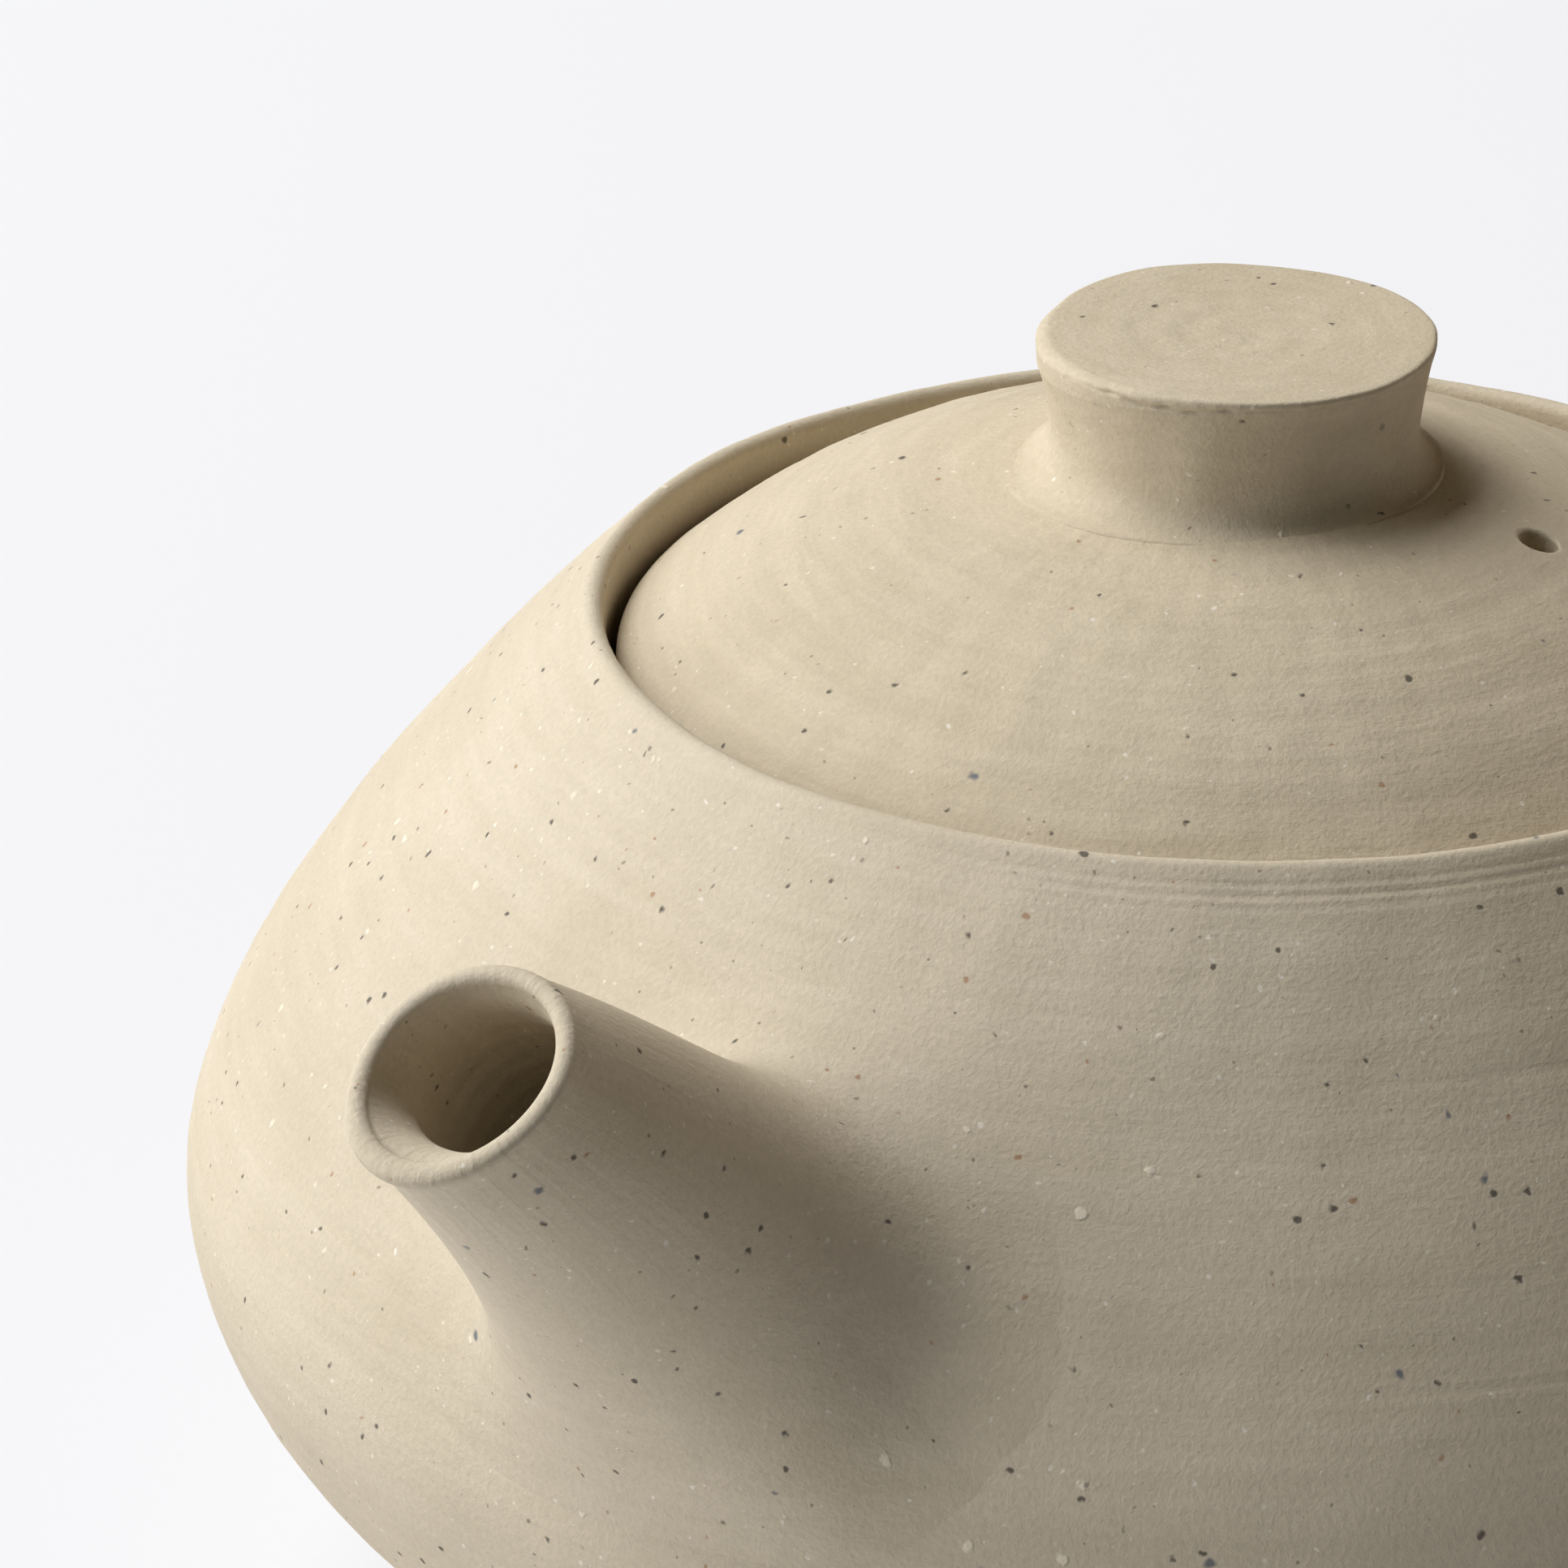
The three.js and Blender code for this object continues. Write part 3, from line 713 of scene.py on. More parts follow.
strainer = add_piece("strainer_dome", mesh_of_grid(
    "strainer_dome", strainer_grid(),
    first=strainer_middle + strainer_radius * strainer_down,
    last=strainer_middle + (strainer_radius - strainer_wall) * strainer_down,
))


# %% Strainer holes
def drills(sides=12):
    """One mesh of all the drills, each a prism along its own line from the ball's middle."""
    vertices, faces = [], []
    corner = np.linspace(0, 2 * np.pi, sides, endpoint=False)
    for ring in range(strainer_rings + 1):
        holes = max(6 * ring, 1)
        for i in range(holes):
            lean = np.array(ring * strainer_pitch / strainer_radius)
            turn = np.array(2 * np.pi * i / holes)
            out = (ball(1.0, lean, turn) - strainer_middle).ravel()
            one = np.cross(out, across_spout)
            one /= np.linalg.norm(one)
            two = np.cross(out, one)
            circle = strainer_hole * (np.cos(corner)[:, None] * one + np.sin(corner)[:, None] * two)
            start = len(vertices)
            for reach in (strainer_radius - 2.6 * strainer_wall, strainer_radius + strainer_wall):
                vertices.extend(strainer_middle + reach * out + circle)
            low, high = start + np.arange(sides), start + sides + np.arange(sides)
            faces.append(low[::-1].tolist())
            faces.append(high.tolist())
            faces.extend(np.stack([low, np.roll(low, -1), np.roll(high, -1), high], -1).tolist())
    mesh = bpy.data.meshes.new("drills")
    mesh.from_pydata(np.array(vertices) * MM, [], faces)
    return outward(mesh)


cut_away(strainer, drills(), crisp=35)

# %% [markdown]
# ## The handle
#
# A side-handled pot is held like a saucepan. The handle is a second thrown cone, hollow so that it stays
# cool, slimmest near the body and widest at its open end, where the edge is rounded for the palm. The
# photograph doesn't show it, so its shape follows what such pots have.

# %% Handle
handle_rise = math.radians(12)
handle_length = 63.0
handle_end = 12.4
handle_waist = 9.2
waist_distance = 15.0
handle_wall = 2.6
handle_lip = 1.2
hollow_depth = 50.0
handle_height = belly_height + 3.5
handle_axis = np.array([math.cos(handle_rise), 0, math.sin(handle_rise)])
handle_up = np.array([-math.sin(handle_rise), 0, math.cos(handle_rise)])
handle_side = np.array([0, 1.0, 0])
handle_start = on_skin(np.array(math.pi / 2), np.array(handle_height))
handle_root = (math.pi / 2, handle_height, 17.5, 15.0, 15.0)  # azimuth, height, spread, rise, fall
handle_ease = 0.42  # handle share at both ends of the root's curves
hollow_round = 3.0  # over what length the hollow closes towards its bottom
handle_columns = 128
handle_angle = np.linspace(0, 2 * np.pi, handle_columns, endpoint=False)


def cone_radius(distance):
    """The outside radius along the handle: the waist's, and growing with the 1.5th power beyond it."""
    share = np.clip((distance - waist_distance) / (handle_length - waist_distance), 0, None)
    return handle_waist + (handle_end - handle_waist) * share**1.5


def handle_rings(distance, radius):
    """Rings about the handle's axis at some distances along it, one radius a ring."""
    circle = np.cos(handle_angle)[:, None] * handle_side + np.sin(handle_angle)[:, None] * handle_up
    distance, radius = np.asarray(distance, float), np.asarray(radius, float)
    return handle_start + distance[:, None, None] * handle_axis + radius[:, None, None] * circle


def handle_grid():
    """Root to end outside, over the lip, down the hollow and across its bottom, closed by two poles."""
    cone = np.linspace(waist_distance, handle_length - handle_lip, 90)
    rings_left = 0.03 * np.sin(2 * np.pi * cone / 3.1) + 0.02 * np.sin(2 * np.pi * cone / 1.9 + 1)
    outside = handle_rings(cone, cone_radius(cone) + rings_left)
    shares = np.linspace(0, 1, 46)
    start = outside[0]
    leaving = np.broadcast_to(-handle_axis, start.shape)
    root = root_curves(start, leaving, handle_root, handle_angle, handle_ease, handle_ease, shares)
    root = melted(root)
    turn = np.linspace(0, np.pi, 17)[1:]
    wall_middle = cone_radius(handle_length) - handle_wall / 2
    lip = handle_rings(
        handle_length - handle_lip + handle_lip * np.sin(turn), wall_middle + handle_wall / 2 * np.cos(turn)
    )
    deep = np.linspace(handle_length - handle_lip, handle_length - hollow_depth, 50)[1:]
    bottom = 1 - np.clip((deep - deep[-1]) / hollow_round, 0, 1)
    hollow = handle_rings(deep, (cone_radius(deep) - handle_wall) * np.sqrt(1 - 0.84 * bottom**2))
    middle = on_skin(np.full(handle_columns, math.pi / 2), np.full(handle_columns, handle_height))
    skin = under_skin(root[-1], middle, 5)
    return np.concatenate([skin[::-1], root[::-1], outside[1:], lip, hollow])


handle = add_piece("handle_shell", mesh_of_grid(
    "handle_shell", handle_grid(),
    first=on_skin(np.array(math.pi / 2), np.array(handle_height), sunk),
    last=handle_start + (handle_length - hollow_depth) * handle_axis,
))

# %% [markdown]
# ## The lid
#
# The lid sits inside the crest on the gallery. Its dome was thrown upside down and turned, so it carries
# rings too; a flange below keeps it from sliding off, and a vent beside the knob lets air in when tea is
# poured. The vent's edge was wiped soft, so its cutter is a spool with flared ends.

# %% Lid profile
lid_gap_below = 0.3
lid_edge = 3.5
lid_edge_round = 0.7
lid_wall = 2.8
flange_gap = 0.7  # between the flange and the neck
flange_wall = 2.4
flange_height = 5.6
dome_slope = math.radians(43)
crown_slope = math.radians(9)
knob_foot = 10.6
lid_seat = crest_height - gallery_depth + lid_gap_below
dome_edge = np.array([lid_radius - lid_edge_round * (1 - math.sin(dome_slope)), lid_seat + lid_edge])
crown_edge = np.array([knob_foot, crown_height])
dome = bezier(
    dome_edge, dome_edge - polar(6.4, -dome_slope), crown_edge + polar(9, -crown_slope), crown_edge,
    np.linspace(0, 1, 160),
)


def dome_height(r):
    """The lid's height at a radius."""
    return np.interp(r, dome[::-1, 0], dome[::-1, 1])


def lid_traces(azimuth, r, z):
    """Turning rings on the dome and a slight waviness, as an outward distance."""
    rings = (
        0.007 * np.sin(2 * np.pi * r / 2.3 + 0.8 * np.sin(azimuth + 1))
        + 0.018 * np.sin(2 * np.pi * r / 4.7 + 1.1 + 0.7 * np.sin(azimuth - 0.5))
        + 0.003 * np.sin(2 * np.pi * r / 1.3 + np.sin(2 * azimuth))
    )
    swell = 0.07 * np.sin(3 * azimuth + r / 6) + 0.05 * np.sin(2 * azimuth + 2)
    rough = 0.012 * uneven(azimuth, r, 6.0, 5) + 0.005 * uneven(azimuth, r, 2.4, 6)
    return rings + rough * np.clip(r / 20, 0, 1) + swell * np.clip((lid_radius - r) / 8, 0, 1)


def lid_profile():
    """The section from the middle of the top over the edge and the seat to the flange and underside."""
    flange_outer = neck_radius - flange_gap
    flange_inner = flange_outer - flange_wall
    flange_low = lid_seat - flange_height
    under = moved_in(dome[::-1], -lid_wall)[::-1]
    under = under[under[:, 0] < flange_inner - 1.2]
    edge = softened(
        [
            dome[2], [lid_radius, lid_seat + lid_edge - 0.25], [lid_radius, lid_seat],
            [flange_outer, lid_seat], [flange_outer, flange_low], [flange_inner, flange_low],
            under[0] + [1.3, -2.2], under[0],
        ],
        [0.5, 0.4, 0.5, 0.8, 0.8, 1.4],
    )
    crown = [[0.5, crown_height], [knob_foot - 0.5, crown_height]]
    return np.vstack([
        weighted(crown, 0), weighted(dome[:2:-1], 1), weighted(edge, 0), weighted(under[1:], 0),
        weighted([[0.5, crown_height - lid_wall]], 0),
    ])


def lid_gap(r, z):
    """Row spacing: fine on the dome, coarse under it."""
    return np.where(z > dome_height(r) - 0.8, 0.22, 0.9)


lid_columns = 320
lid_rows = respaced(lid_profile(), lid_gap)
lid = add_piece("lid_dome", mesh_of_grid(
    "lid_dome", turned(lid_rows, lid_columns, lid_traces),
    first=(0, 0, crown_height), last=(0, 0, crown_height - lid_wall),
))

# %% Lid vent
vent_azimuth = math.radians(98.8)
vent_distance = 16.6
vent_radius = 0.98
vent_tilt = 0.27  # how much the spool's rings fall, for their width, away from the knob
vent_top = float(dome_height(vent_distance))


def on_circle(azimuth, distance):
    """A place on the lid seen from above."""
    return distance * math.sin(azimuth), -distance * math.cos(azimuth)


def vent_cutter():
    """A spool along the vertical: a straight hole that flares in a quarter round at the dome."""
    round_off = 0.3
    turn = np.linspace(np.pi, np.pi / 2, 7)
    flare_r = vent_radius + round_off + round_off * np.cos(turn)
    flare_z = vent_top - round_off + round_off * np.sin(turn)
    low = vent_top - 2 * lid_wall
    radii = np.concatenate([[vent_radius], flare_r, [vent_radius + round_off]])
    heights = np.concatenate([[low], flare_z, [vent_top + 1.0]])
    angle = np.linspace(0, 2 * np.pi, 40, endpoint=False)[None, :]
    middle = on_circle(vent_azimuth, vent_distance)
    grid = np.stack([
        middle[0] + radii[:, None] * np.cos(angle), middle[1] + radii[:, None] * np.sin(angle),
        heights[:, None] + 0 * angle
        - (radii[:, None] * np.cos(angle - vent_azimuth + np.pi / 2)) * vent_tilt,
    ], -1)
    mesh = mesh_of_grid("vent", grid, first=(*middle, low - 0.1), last=(*middle, vent_top + 1.0))
    return outward(mesh)


cut_away(lid, vent_cutter(), crisp=50)

# %% [markdown]
# ## The knob
#
# The knob is a short drum with a hollow side and a flat top. It was luted on and smoothed with a finger:
# wide on the left, where the fillet runs far out on the lid, and narrow on the right, where a small foot
# stayed. The top edge is blunt on the left and has a torn line where the clay was dry.

# %% Knob
knob_radius = 10.2
knob_waist = 9.5
knob_columns = 240
knob_sunk = 0.25  # how far the knob's hidden edge lies in the lid
knob_dish = 0.22  # how far the top's middle lies below its edge
smoothed_side = -54.5  # azimuth in degrees of the side with the wide fillet
fillet_reach = 1.3  # how much further out the fillet runs there
foot_stand = 0.35  # height of the small foot on the other side
blunt_side = -50  # azimuth in degrees where the top edge is bluntest
band_least = 0.35  # height of the blunt band where the edge is sharpest
band_more = 1.1  # and how much higher it is at the blunt side


def knob_grid():
    """Fillet, side, blunt edge and top, each a family of Bezier curves, one for every azimuth."""
    azimuth = np.linspace(0, 2 * np.pi, knob_columns, endpoint=False)
    wide = (1 + np.cos(azimuth - math.radians(smoothed_side))) / 2
    foot_r = knob_foot + 0.1 + fillet_reach * wide**2
    stand = foot_stand * (1 - wide) ** 4
    foot = np.stack([foot_r, dome_height(foot_r) + stand - 0.02], -1)
    drop = np.stack([foot_r + 0.03, dome_height(foot_r) - knob_sunk], -1)
    climb = (dome_height(foot_r - 0.5) - dome_height(foot_r)) / 0.5
    tangent = np.stack([np.full(knob_columns, -1.0), climb], -1)
    waist = np.stack([knob_waist + 0 * azimuth, crown_height + 1.75 + 0.5 * wide], -1)
    band = band_least + band_more * np.clip(np.cos(azimuth - math.radians(blunt_side)), 0, 1) ** 2
    low_band = np.stack([knob_radius - 0.05 + 0 * azimuth, knob_top - band - 0.2], -1)
    high_band = np.stack([knob_radius + 0 * azimuth, knob_top - 0.3 - 0.25 * (band - band_least)], -1)
    edge_in = np.stack([knob_radius - 0.3 - 0.35 * (band - band_least), knob_top + 0 * azimuth], -1)
    centre = np.stack([0.3 + 0 * azimuth, knob_top - knob_dish + 0 * azimuth], -1)
    out = np.array([1.0, 0])
    up = np.array([0, 1.0])
    fillet = bezier(
        foot, foot + (0.6 + 1.3 * wide)[:, None] * tangent, waist - (0.8 + 0.3 * wide)[:, None] * up,
        waist, np.linspace(0, 1, 18),
    )
    side = bezier(waist, waist + 1.2 * up, low_band - 0.9 * up - 0.28 * out, low_band, np.linspace(0, 1, 30))
    blunt = bezier(low_band, low_band + 0.15 * up, high_band - 0.1 * up, high_band, np.linspace(0, 1, 8))
    edge = bezier(high_band, high_band + 0.24 * up, edge_in + 0.22 * out, edge_in, np.linspace(0, 1, 9))
    top = bezier(edge_in, edge_in - 2 * out, centre + 5 * out, centre, np.linspace(0, 1, 44) ** 1.1)
    rz = np.concatenate([drop[None], fillet, side[1:], blunt[1:], edge[1:], top[1:]])
    return azimuth, rz


def knob_traces(azimuth, r, z):
    """Wobble of the drum, the torn line under its edge and the grit beside it, as an outward distance."""
    wobble = 0.06 * np.sin(2 * azimuth + 0.4) + 0.03 * uneven(azimuth, z, 16.0, 8)
    at = knob_top - 0.55 - 0.12 * np.sin(7 * azimuth) - 0.06 * np.sin(23 * azimuth)
    torn = 0.16 * hump(z - at, 0.09) * window(azimuth, 10, 24) * (1 + 0.6 * np.sin(41 * azimuth))
    grit = 0.03 * np.sin(60 * azimuth + 5 * z) * hump(z - knob_top + 0.4, 0.4) * window(azimuth, 0, 60)
    return wobble - torn + grit


def knob_points():
    """The knob's grid with its traces: the side moves outwards, the top up and down in a finger's swirl."""
    azimuth, rz = knob_grid()
    r, z = rz[..., 0], rz[..., 1]
    side_weight = np.clip((z - crown_height - 0.6) / 1.5, 0, 1) * np.clip((r - 8) / 1, 0, 1)
    r = r + side_weight * knob_traces(azimuth, r, z)
    on_top = np.clip((9.2 - r) / 1.5, 0, 1) * (z > knob_top - 0.5)
    z = z + on_top * 0.03 * np.sin(2 * np.pi * r / 2.6 + azimuth) * hump(r, 5.5)
    droop = 0.09 * (1 - np.sin(3 * azimuth + 1)) * np.clip((z - knob_top + 1.5) / 1.5, 0, 1)
    z = z - droop * np.clip((r - 6) / 4, 0, 1)
    return np.stack([r * np.sin(azimuth), -r * np.cos(azimuth), z], -1)


knob = add_piece("knob_drum", mesh_of_grid(
    "knob_drum", knob_points(),
    first=(0, 0, crown_height - knob_sunk), last=(0, 0, knob_top - knob_dish),
))

# %% [markdown]
# ## Stoneware
#
# The clay is unglazed stoneware: a light grey-beige body with sand and iron in it, fired matte. The eye
# reads it from many small things at real sizes: a fine sandy grain, pale grits, dark iron specks, a few
# rust and blue ones, soft clouds of colour, and streaks where the wheel drew the slip out. All patterns
# are worked out in millimetres from the object's own coordinates, so they run on from piece to piece.


# %% Node helper
def linear(code):
    """An sRGB hex colour as linear red, green, blue and an alpha of one."""
    channels = [int(code[i:i + 2], 16) / 255 for i in (1, 3, 5)]
    return (*[c / 12.92 if c <= 0.04045 else ((c + 0.055) / 1.055) ** 2.4 for c in channels], 1.0)


def node(tree, kind, inputs=None, **settings):
    """Add a node, set its properties, and fill its inputs with values or links."""
    made = tree.nodes.new("ShaderNode" + kind)
    for name, value in settings.items():
        setattr(made, name, value)
    for name, value in (inputs or {}).items():
        if isinstance(value, bpy.types.NodeSocket):
            tree.links.new(value, made.inputs[name])
        else:
            made.inputs[name].default_value = value
    return made


# %% [markdown]
# A speck is drawn by a Voronoi texture: each cell has one point and one random colour. The random red
# gives the speck its size, less an offset, so that most cells have none, and the speck covers what is
# nearer to the point than that size. Each kind has its cell, its largest radius and its share of cells.


# %% Specks
def specks(tree, place, cell, largest, share, softness=0.42):
    """A mask of specks: a cell size and a largest radius in millimetres, and a share of cells with one."""
    voronoi = node(tree, "TexVoronoi", {"Vector": place, "Scale": 1 / cell}, feature="F1")
    random = node(tree, "SeparateColor", {0: voronoi.outputs["Color"]})
    reach = largest / cell / share
    size = node(
        tree, "Math", {0: random.outputs[0], 1: reach, 2: -reach * (1 - share)}, operation="MULTIPLY_ADD"
    )
    inside = node(tree, "Math", {0: size.outputs[0], 1: voronoi.outputs["Distance"]}, operation="SUBTRACT")
    edge = softness * largest / cell
    mask = node(tree, "Math", {0: inside.outputs[0], 1: edge}, operation="DIVIDE", use_clamp=True)
    return mask.outputs[0]


SPECKS = (  # name, colour, cell, largest radius, share of cells, opacity, height in millimetres
    ("white sand", "#efe8d9", 0.6, 0.15, 0.42, 0.6, 0.0),
    ("pale grit", "#eee3cd", 2.1, 0.36, 0.33, 0.7, 0.04),
    ("iron dust", "#4c4136", 0.75, 0.13, 0.3, 0.55, 0.0),
    ("iron speck", "#332c28", 1.1, 0.25, 0.34, 0.8, -0.015),
    ("rust", "#99602f", 1.4, 0.22, 0.3, 0.6, 0.0),
    ("blue slate", "#4f5a68", 2.3, 0.36, 0.17, 0.8, 0.0),
)


# %% Clay
streak_width = 1.1  # sizes of the patterns in millimetres
cloud_size = 15.0
grain_size = 0.32
bend_size = 0.5
bend_reach = 0.45  # how far the specks' coordinates are bent
grain_height = 0.05  # heights of the bumps in millimetres
streak_height = 0.05
streak_share = 0.42  # of the streaks in the tone, beside the clouds
flow_fades = 7.0  # from the mouth, where the spout's own streaks begin to give way
flow_ends = 16.0  # and where the belly's have taken over


def stoneware(name, light, dark, streak_amount=1.0, speck_amount=1.0, along_flow=False):
    """Matte stoneware: two tones of one clay, with streaks of throwing about the axis or along a flow."""
    material = bpy.data.materials.new(name)
    material.use_nodes = True
    tree = material.node_tree
    tree.nodes.clear()
    metres = node(tree, "TexCoord").outputs["Object"]
    place = node(tree, "VectorMath", {0: metres, "Scale": 1 / MM}, operation="SCALE").outputs[0]
    axes = node(tree, "SeparateXYZ", {0: place})
    flat = node(tree, "CombineXYZ", {0: axes.outputs[0], 1: axes.outputs[1], 2: 0.0}).outputs[0]
    radius = node(tree, "VectorMath", {0: flat}, operation="LENGTH").outputs["Value"]
    outwards = node(tree, "VectorMath", {0: flat}, operation="NORMALIZE").outputs[0]
    bearing = node(tree, "SeparateXYZ", {0: outwards})

    # Throwing streaks vary with radius and height, and only slowly with the bearing.
    turns = 3.2
    cosine = node(tree, "Math", {0: bearing.outputs[0], 1: turns}, operation="MULTIPLY").outputs[0]
    sine = node(tree, "Math", {0: bearing.outputs[1], 1: turns}, operation="MULTIPLY").outputs[0]
    ringed = node(tree, "CombineXYZ", {0: radius, 1: axes.outputs[2], 2: cosine}).outputs[0]
    streak = node(
        tree, "TexNoise",
        {"Vector": ringed, "W": sine, "Scale": 1 / streak_width, "Detail": 4.0, "Roughness": 0.62},
        noise_dimensions="4D",
    ).outputs[0]
    if along_flow:
        flow = node(tree, "Attribute", attribute_name="flow").outputs["Vector"]
        pulled = node(tree, "VectorMath", {0: flow, 1: (9.0, 9.0, 0.05)}, operation="MULTIPLY").outputs[0]
        drawn = node(
            tree, "TexNoise", {"Vector": pulled, "Scale": 1.6, "Detail": 4.0, "Roughness": 0.6},
        ).outputs[0]
        distance = node(tree, "SeparateXYZ", {0: flow}).outputs[2]
        near_root = node(
            tree, "MapRange", {0: distance, 1: flow_fades, 2: flow_ends}, interpolation_type="SMOOTHSTEP"
        ).outputs[0]
        streak = node(tree, "Mix", {0: near_root, 2: drawn, 3: streak}).outputs[0]

    # Clouds of tone, then the sandy grain.
    cloud = node(
        tree, "TexNoise", {"Vector": place, "Scale": 1 / cloud_size, "Detail": 3.0, "Roughness": 0.5}
    ).outputs[0]
    cloud = node(tree, "MapRange", {0: cloud, 1: 0.3, 2: 0.7}).outputs[0]
    streak_tone = node(tree, "MapRange", {0: streak, 1: 0.3, 2: 0.7}).outputs[0]
    tone = node(tree, "Mix", {0: streak_share * streak_amount, 2: cloud, 3: streak_tone}).outputs[0]
    clay = node(tree, "Mix", {0: tone, 6: linear(dark), 7: linear(light)}, data_type="RGBA").outputs[2]
    grain = node(
        tree, "TexNoise", {"Vector": place, "Scale": 1 / grain_size, "Detail": 3.0, "Roughness": 0.65}
    ).outputs[0]
    grain_tone = node(tree, "MapRange", {0: grain, 1: 0.25, 2: 0.75, 3: 0.93, 4: 1.07}).outputs[0]
    grain_colour = node(tree, "CombineColor", {0: grain_tone, 1: grain_tone, 2: grain_tone}).outputs[0]
    clay = node(
        tree, "Mix", {0: 1.0, 6: clay, 7: grain_colour}, data_type="RGBA", blend_type="MULTIPLY"
    ).outputs[2]

    # Specks sit on slightly bent coordinates, so that none is a plain disc.
    bend = node(tree, "TexNoise", {"Vector": place, "Scale": 1 / bend_size, "Detail": 1.0}).outputs["Color"]
    bend = node(tree, "VectorMath", {0: bend, 1: (0.5, 0.5, 0.5)}, operation="SUBTRACT").outputs[0]
    bend = node(tree, "VectorMath", {0: bend, "Scale": bend_reach}, operation="SCALE").outputs[0]
    bent = node(tree, "VectorMath", {0: place, 1: bend}, operation="ADD").outputs[0]
    height = node(tree, "Math", {0: grain, 1: grain_height, 2: 0.0}, operation="MULTIPLY_ADD").outputs[0]
    height = node(
        tree, "Math", {0: streak, 1: streak_height * streak_amount, 2: height}, operation="MULTIPLY_ADD"
    ).outputs[0]
    for i, (_, colour, cell, largest, share, opacity, proud) in enumerate(SPECKS):
        offset = (7.3 * i, 3.1 * i, 5.7 * i)
        shifted = node(tree, "VectorMath", {0: bent, 1: offset}, operation="ADD").outputs[0]
        mask = specks(tree, shifted, cell, largest, share * speck_amount)
        amount = node(tree, "Math", {0: mask, 1: opacity}, operation="MULTIPLY").outputs[0]
        clay = node(tree, "Mix", {0: amount, 6: clay, 7: linear(colour)}, data_type="RGBA").outputs[2]
        if proud:
            height = node(tree, "Math", {0: mask, 1: proud, 2: height}, operation="MULTIPLY_ADD").outputs[0]

    bump = node(tree, "Bump", {"Height": height, "Distance": MM, "Strength": 1.0}).outputs[0]
    surface = node(
        tree, "BsdfPrincipled", {"Base Color": clay, "Roughness": 0.88, "IOR": 1.45, "Normal": bump}
    )
    node(tree, "OutputMaterial", {"Surface": surface.outputs[0]})
    print(name, "has", len(tree.nodes), "nodes")
    return material


# %% Finish the pieces
thrown_clay = stoneware("thrown_stoneware", "#d4c7b0", "#c3b69c")
drawn_clay = stoneware("drawn_stoneware", "#d4c7b0", "#c3b69c", along_flow=True)
lid_clay = stoneware("lid_stoneware", "#d2c4aa", "#bfb195", streak_amount=1.3, speck_amount=0.55)
strainer_clay = stoneware("strainer_stoneware", "#ccbfa6", "#bcaf95", streak_amount=0.0)
PIECES = (  # piece, the node that it stands for, its body, its slot, its clay
    (body, "body", "pot", "pot_clay", thrown_clay),
    (spout, "spout", "pot", "pot_clay", drawn_clay),
    (handle, "handle", "pot", "pot_clay", thrown_clay),
    (strainer, "strainer", "pot", "strainer_clay", strainer_clay),
    (lid, "lid", "lid", "lid_clay", lid_clay),
    (knob, "knob", "lid", "lid_clay", lid_clay),
)
for piece, stands_for, carrier, slot, clay in PIECES:
    piece.data.materials.clear()
    piece.data.materials.append(clay)
    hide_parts(stands_for)
    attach(piece, carrier)

# %% [markdown]
# ## Table and light
#
# The pot stands on a wide white table that runs out of the picture. The table is matte, so that it throws
# light back under the belly, and for the camera alone it is lifted towards white, which keeps the pot's
# soft shadow on it. Two large window-like lamps stand on the left, one low and a little to the front,
# one high, and a faint warm one behind on the right lights the shaded side. The world adds a little
# fill, and the camera alone sees it pale, for a backdrop.

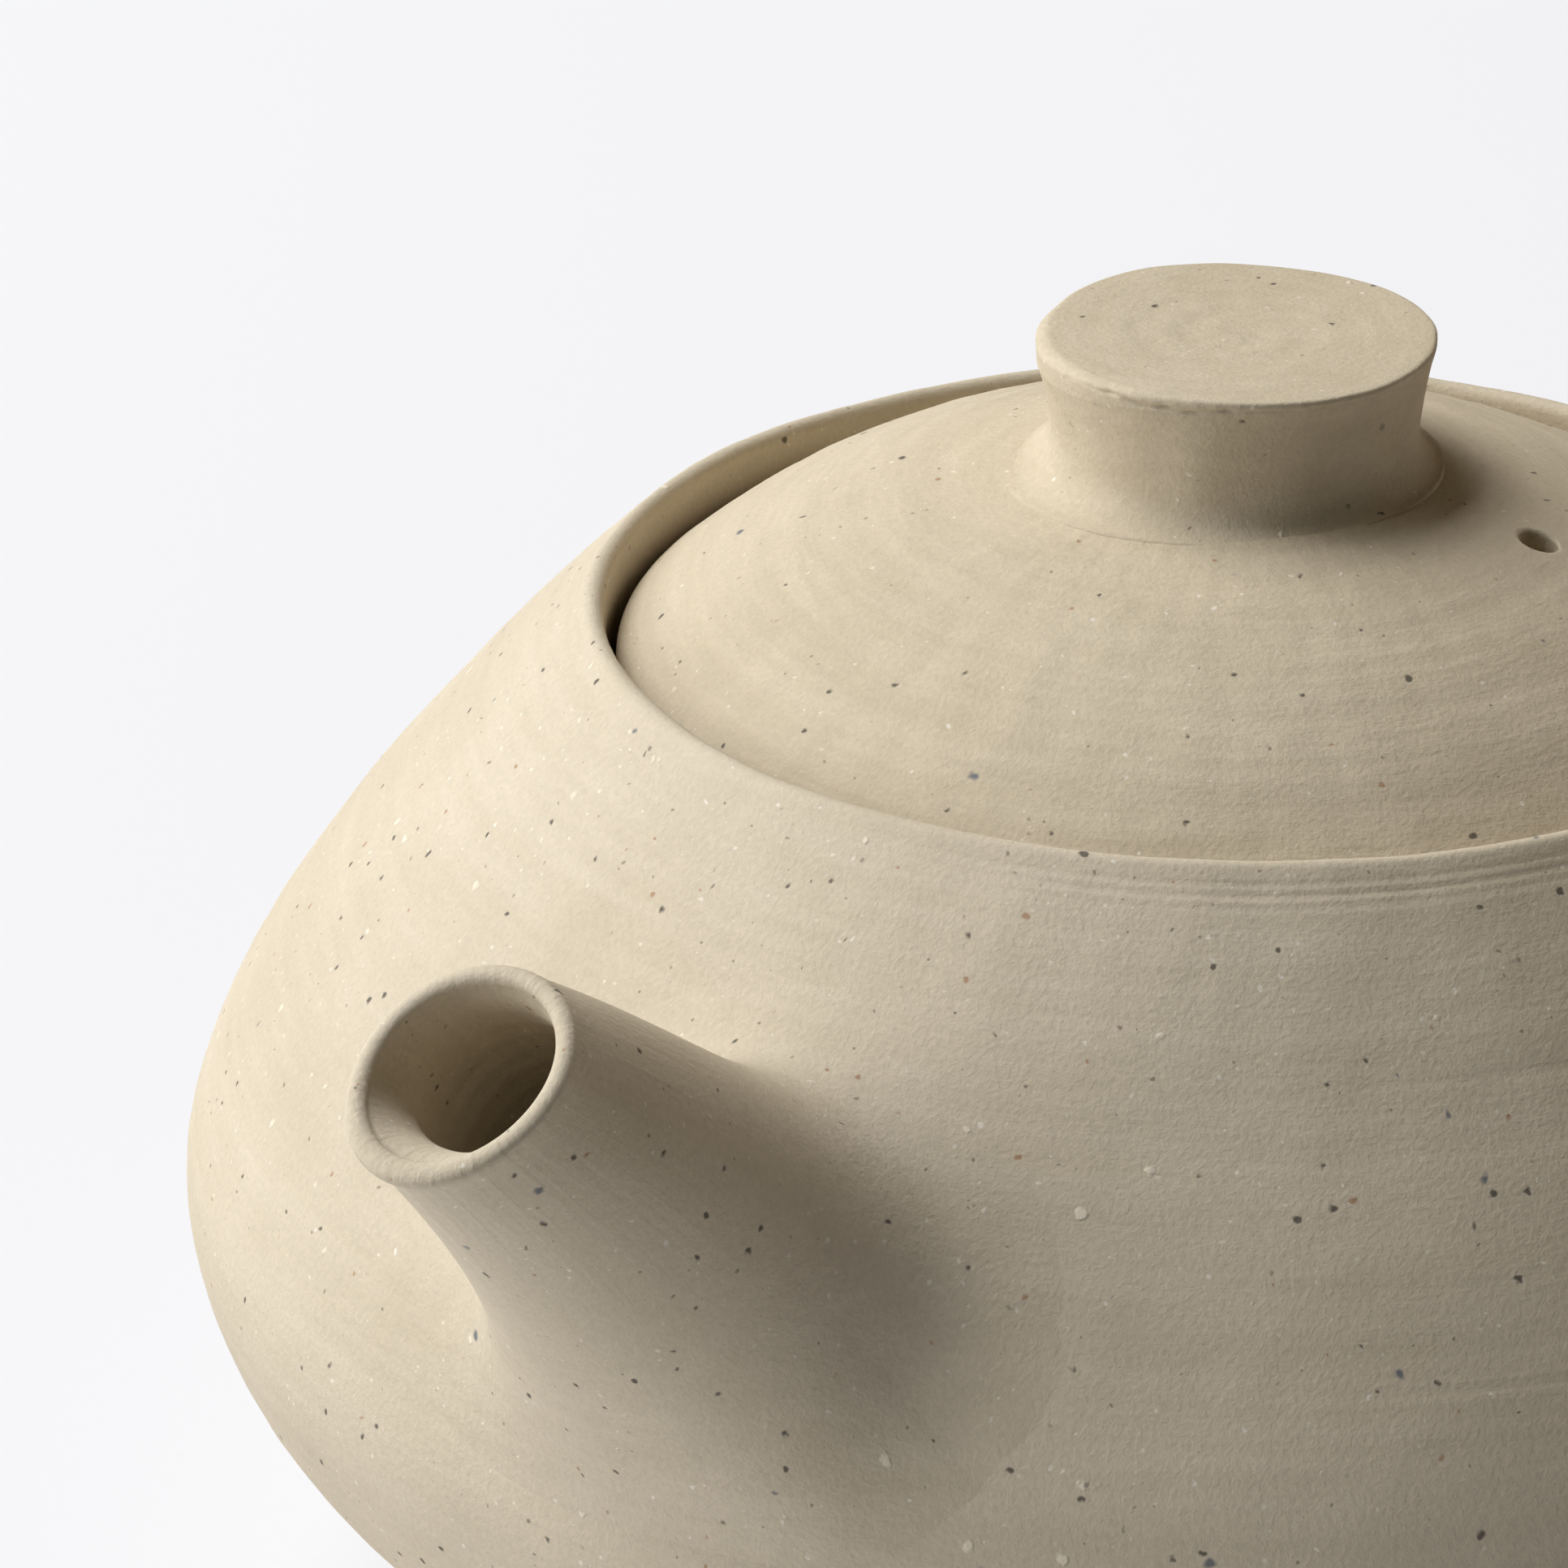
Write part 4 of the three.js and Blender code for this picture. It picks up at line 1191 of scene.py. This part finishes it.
# %% Table
table_mesh = bpy.data.meshes.new("table")
table_half = 3.0  # in metres
table_lift = 0.7  # how far the camera sees the table towards white
table_mesh.from_pydata(
    [(-table_half, -table_half, 0), (table_half, -table_half, 0), (table_half, table_half, 0),
     (-table_half, table_half, 0)], [], [(0, 1, 2, 3)],
)
table = bpy.data.objects.new("table", table_mesh)
bpy.context.scene.collection.objects.link(table)
paper = bpy.data.materials.new("white_paper")
paper.use_nodes = True
tree = paper.node_tree
tree.nodes.clear()
matte = node(tree, "BsdfDiffuse", {"Color": linear("#ececee")})
bright = node(tree, "Emission", {"Color": linear("#f6f6f8"), "Strength": 1.0})
seen = node(tree, "LightPath").outputs["Is Camera Ray"]
lifted = node(tree, "Math", {0: seen, 1: table_lift}, operation="MULTIPLY").outputs[0]
mixed = node(tree, "MixShader", {0: lifted, 1: matte.outputs[0], 2: bright.outputs[0]})
node(tree, "OutputMaterial", {"Surface": mixed.outputs[0]})
table_mesh.materials.append(paper)


# %% Lamps
lamp_target = Vector((0, 0, 0.03))  # the point that every lamp faces, in metres
LAMPS = (  # name, azimuth and elevation in degrees, distance and size in metres, watts, colour
    ("low_window", 223, 19, 1.2, 0.9, 9.0, "#f9fbff"),
    ("high_window", 186, 56, 1.2, 0.8, 15.2, "#fbfcff"),
    ("glow", 65, 20, 1.3, 0.8, 2.2, "#ffe6c4"),
)


def softbox(name, azimuth, elevation, distance, size, watts, colour):
    """A square area lamp on a sphere about the pot, at an azimuth from +X towards +Y, facing the pot."""
    data = bpy.data.lights.new(name, "AREA")
    data.size = size
    data.energy = watts
    data.color = linear(colour)[:3]
    lamp = bpy.data.objects.new(name, data)
    a, e = math.radians(azimuth), math.radians(elevation)
    away = Vector((math.cos(a) * math.cos(e), math.sin(a) * math.cos(e), math.sin(e)))
    lamp.location = away * distance + lamp_target
    lamp.rotation_mode = "QUATERNION"
    lamp.rotation_quaternion = away.to_track_quat("Z", "Y")
    bpy.context.scene.collection.objects.link(lamp)
    print(name, "lamp of", watts, "watts")


for lamp in LAMPS:
    softbox(*lamp)

# %% World
world = bpy.data.worlds.new("studio")
world.use_nodes = True
bpy.context.scene.world = world
tree = world.node_tree
tree.nodes.clear()
fill = node(tree, "Background", {"Color": linear("#fff1dc"), "Strength": 0.025})
backdrop = node(tree, "Background", {"Color": linear("#f6f6f8"), "Strength": 1.0})
seen = node(tree, "LightPath").outputs["Is Camera Ray"]
mixed = node(tree, "MixShader", {0: seen, 1: fill.outputs[0], 2: backdrop.outputs[0]})
node(tree, "OutputWorld", {"Surface": mixed.outputs[0]})
bpy.context.scene.view_settings.view_transform = "Standard"
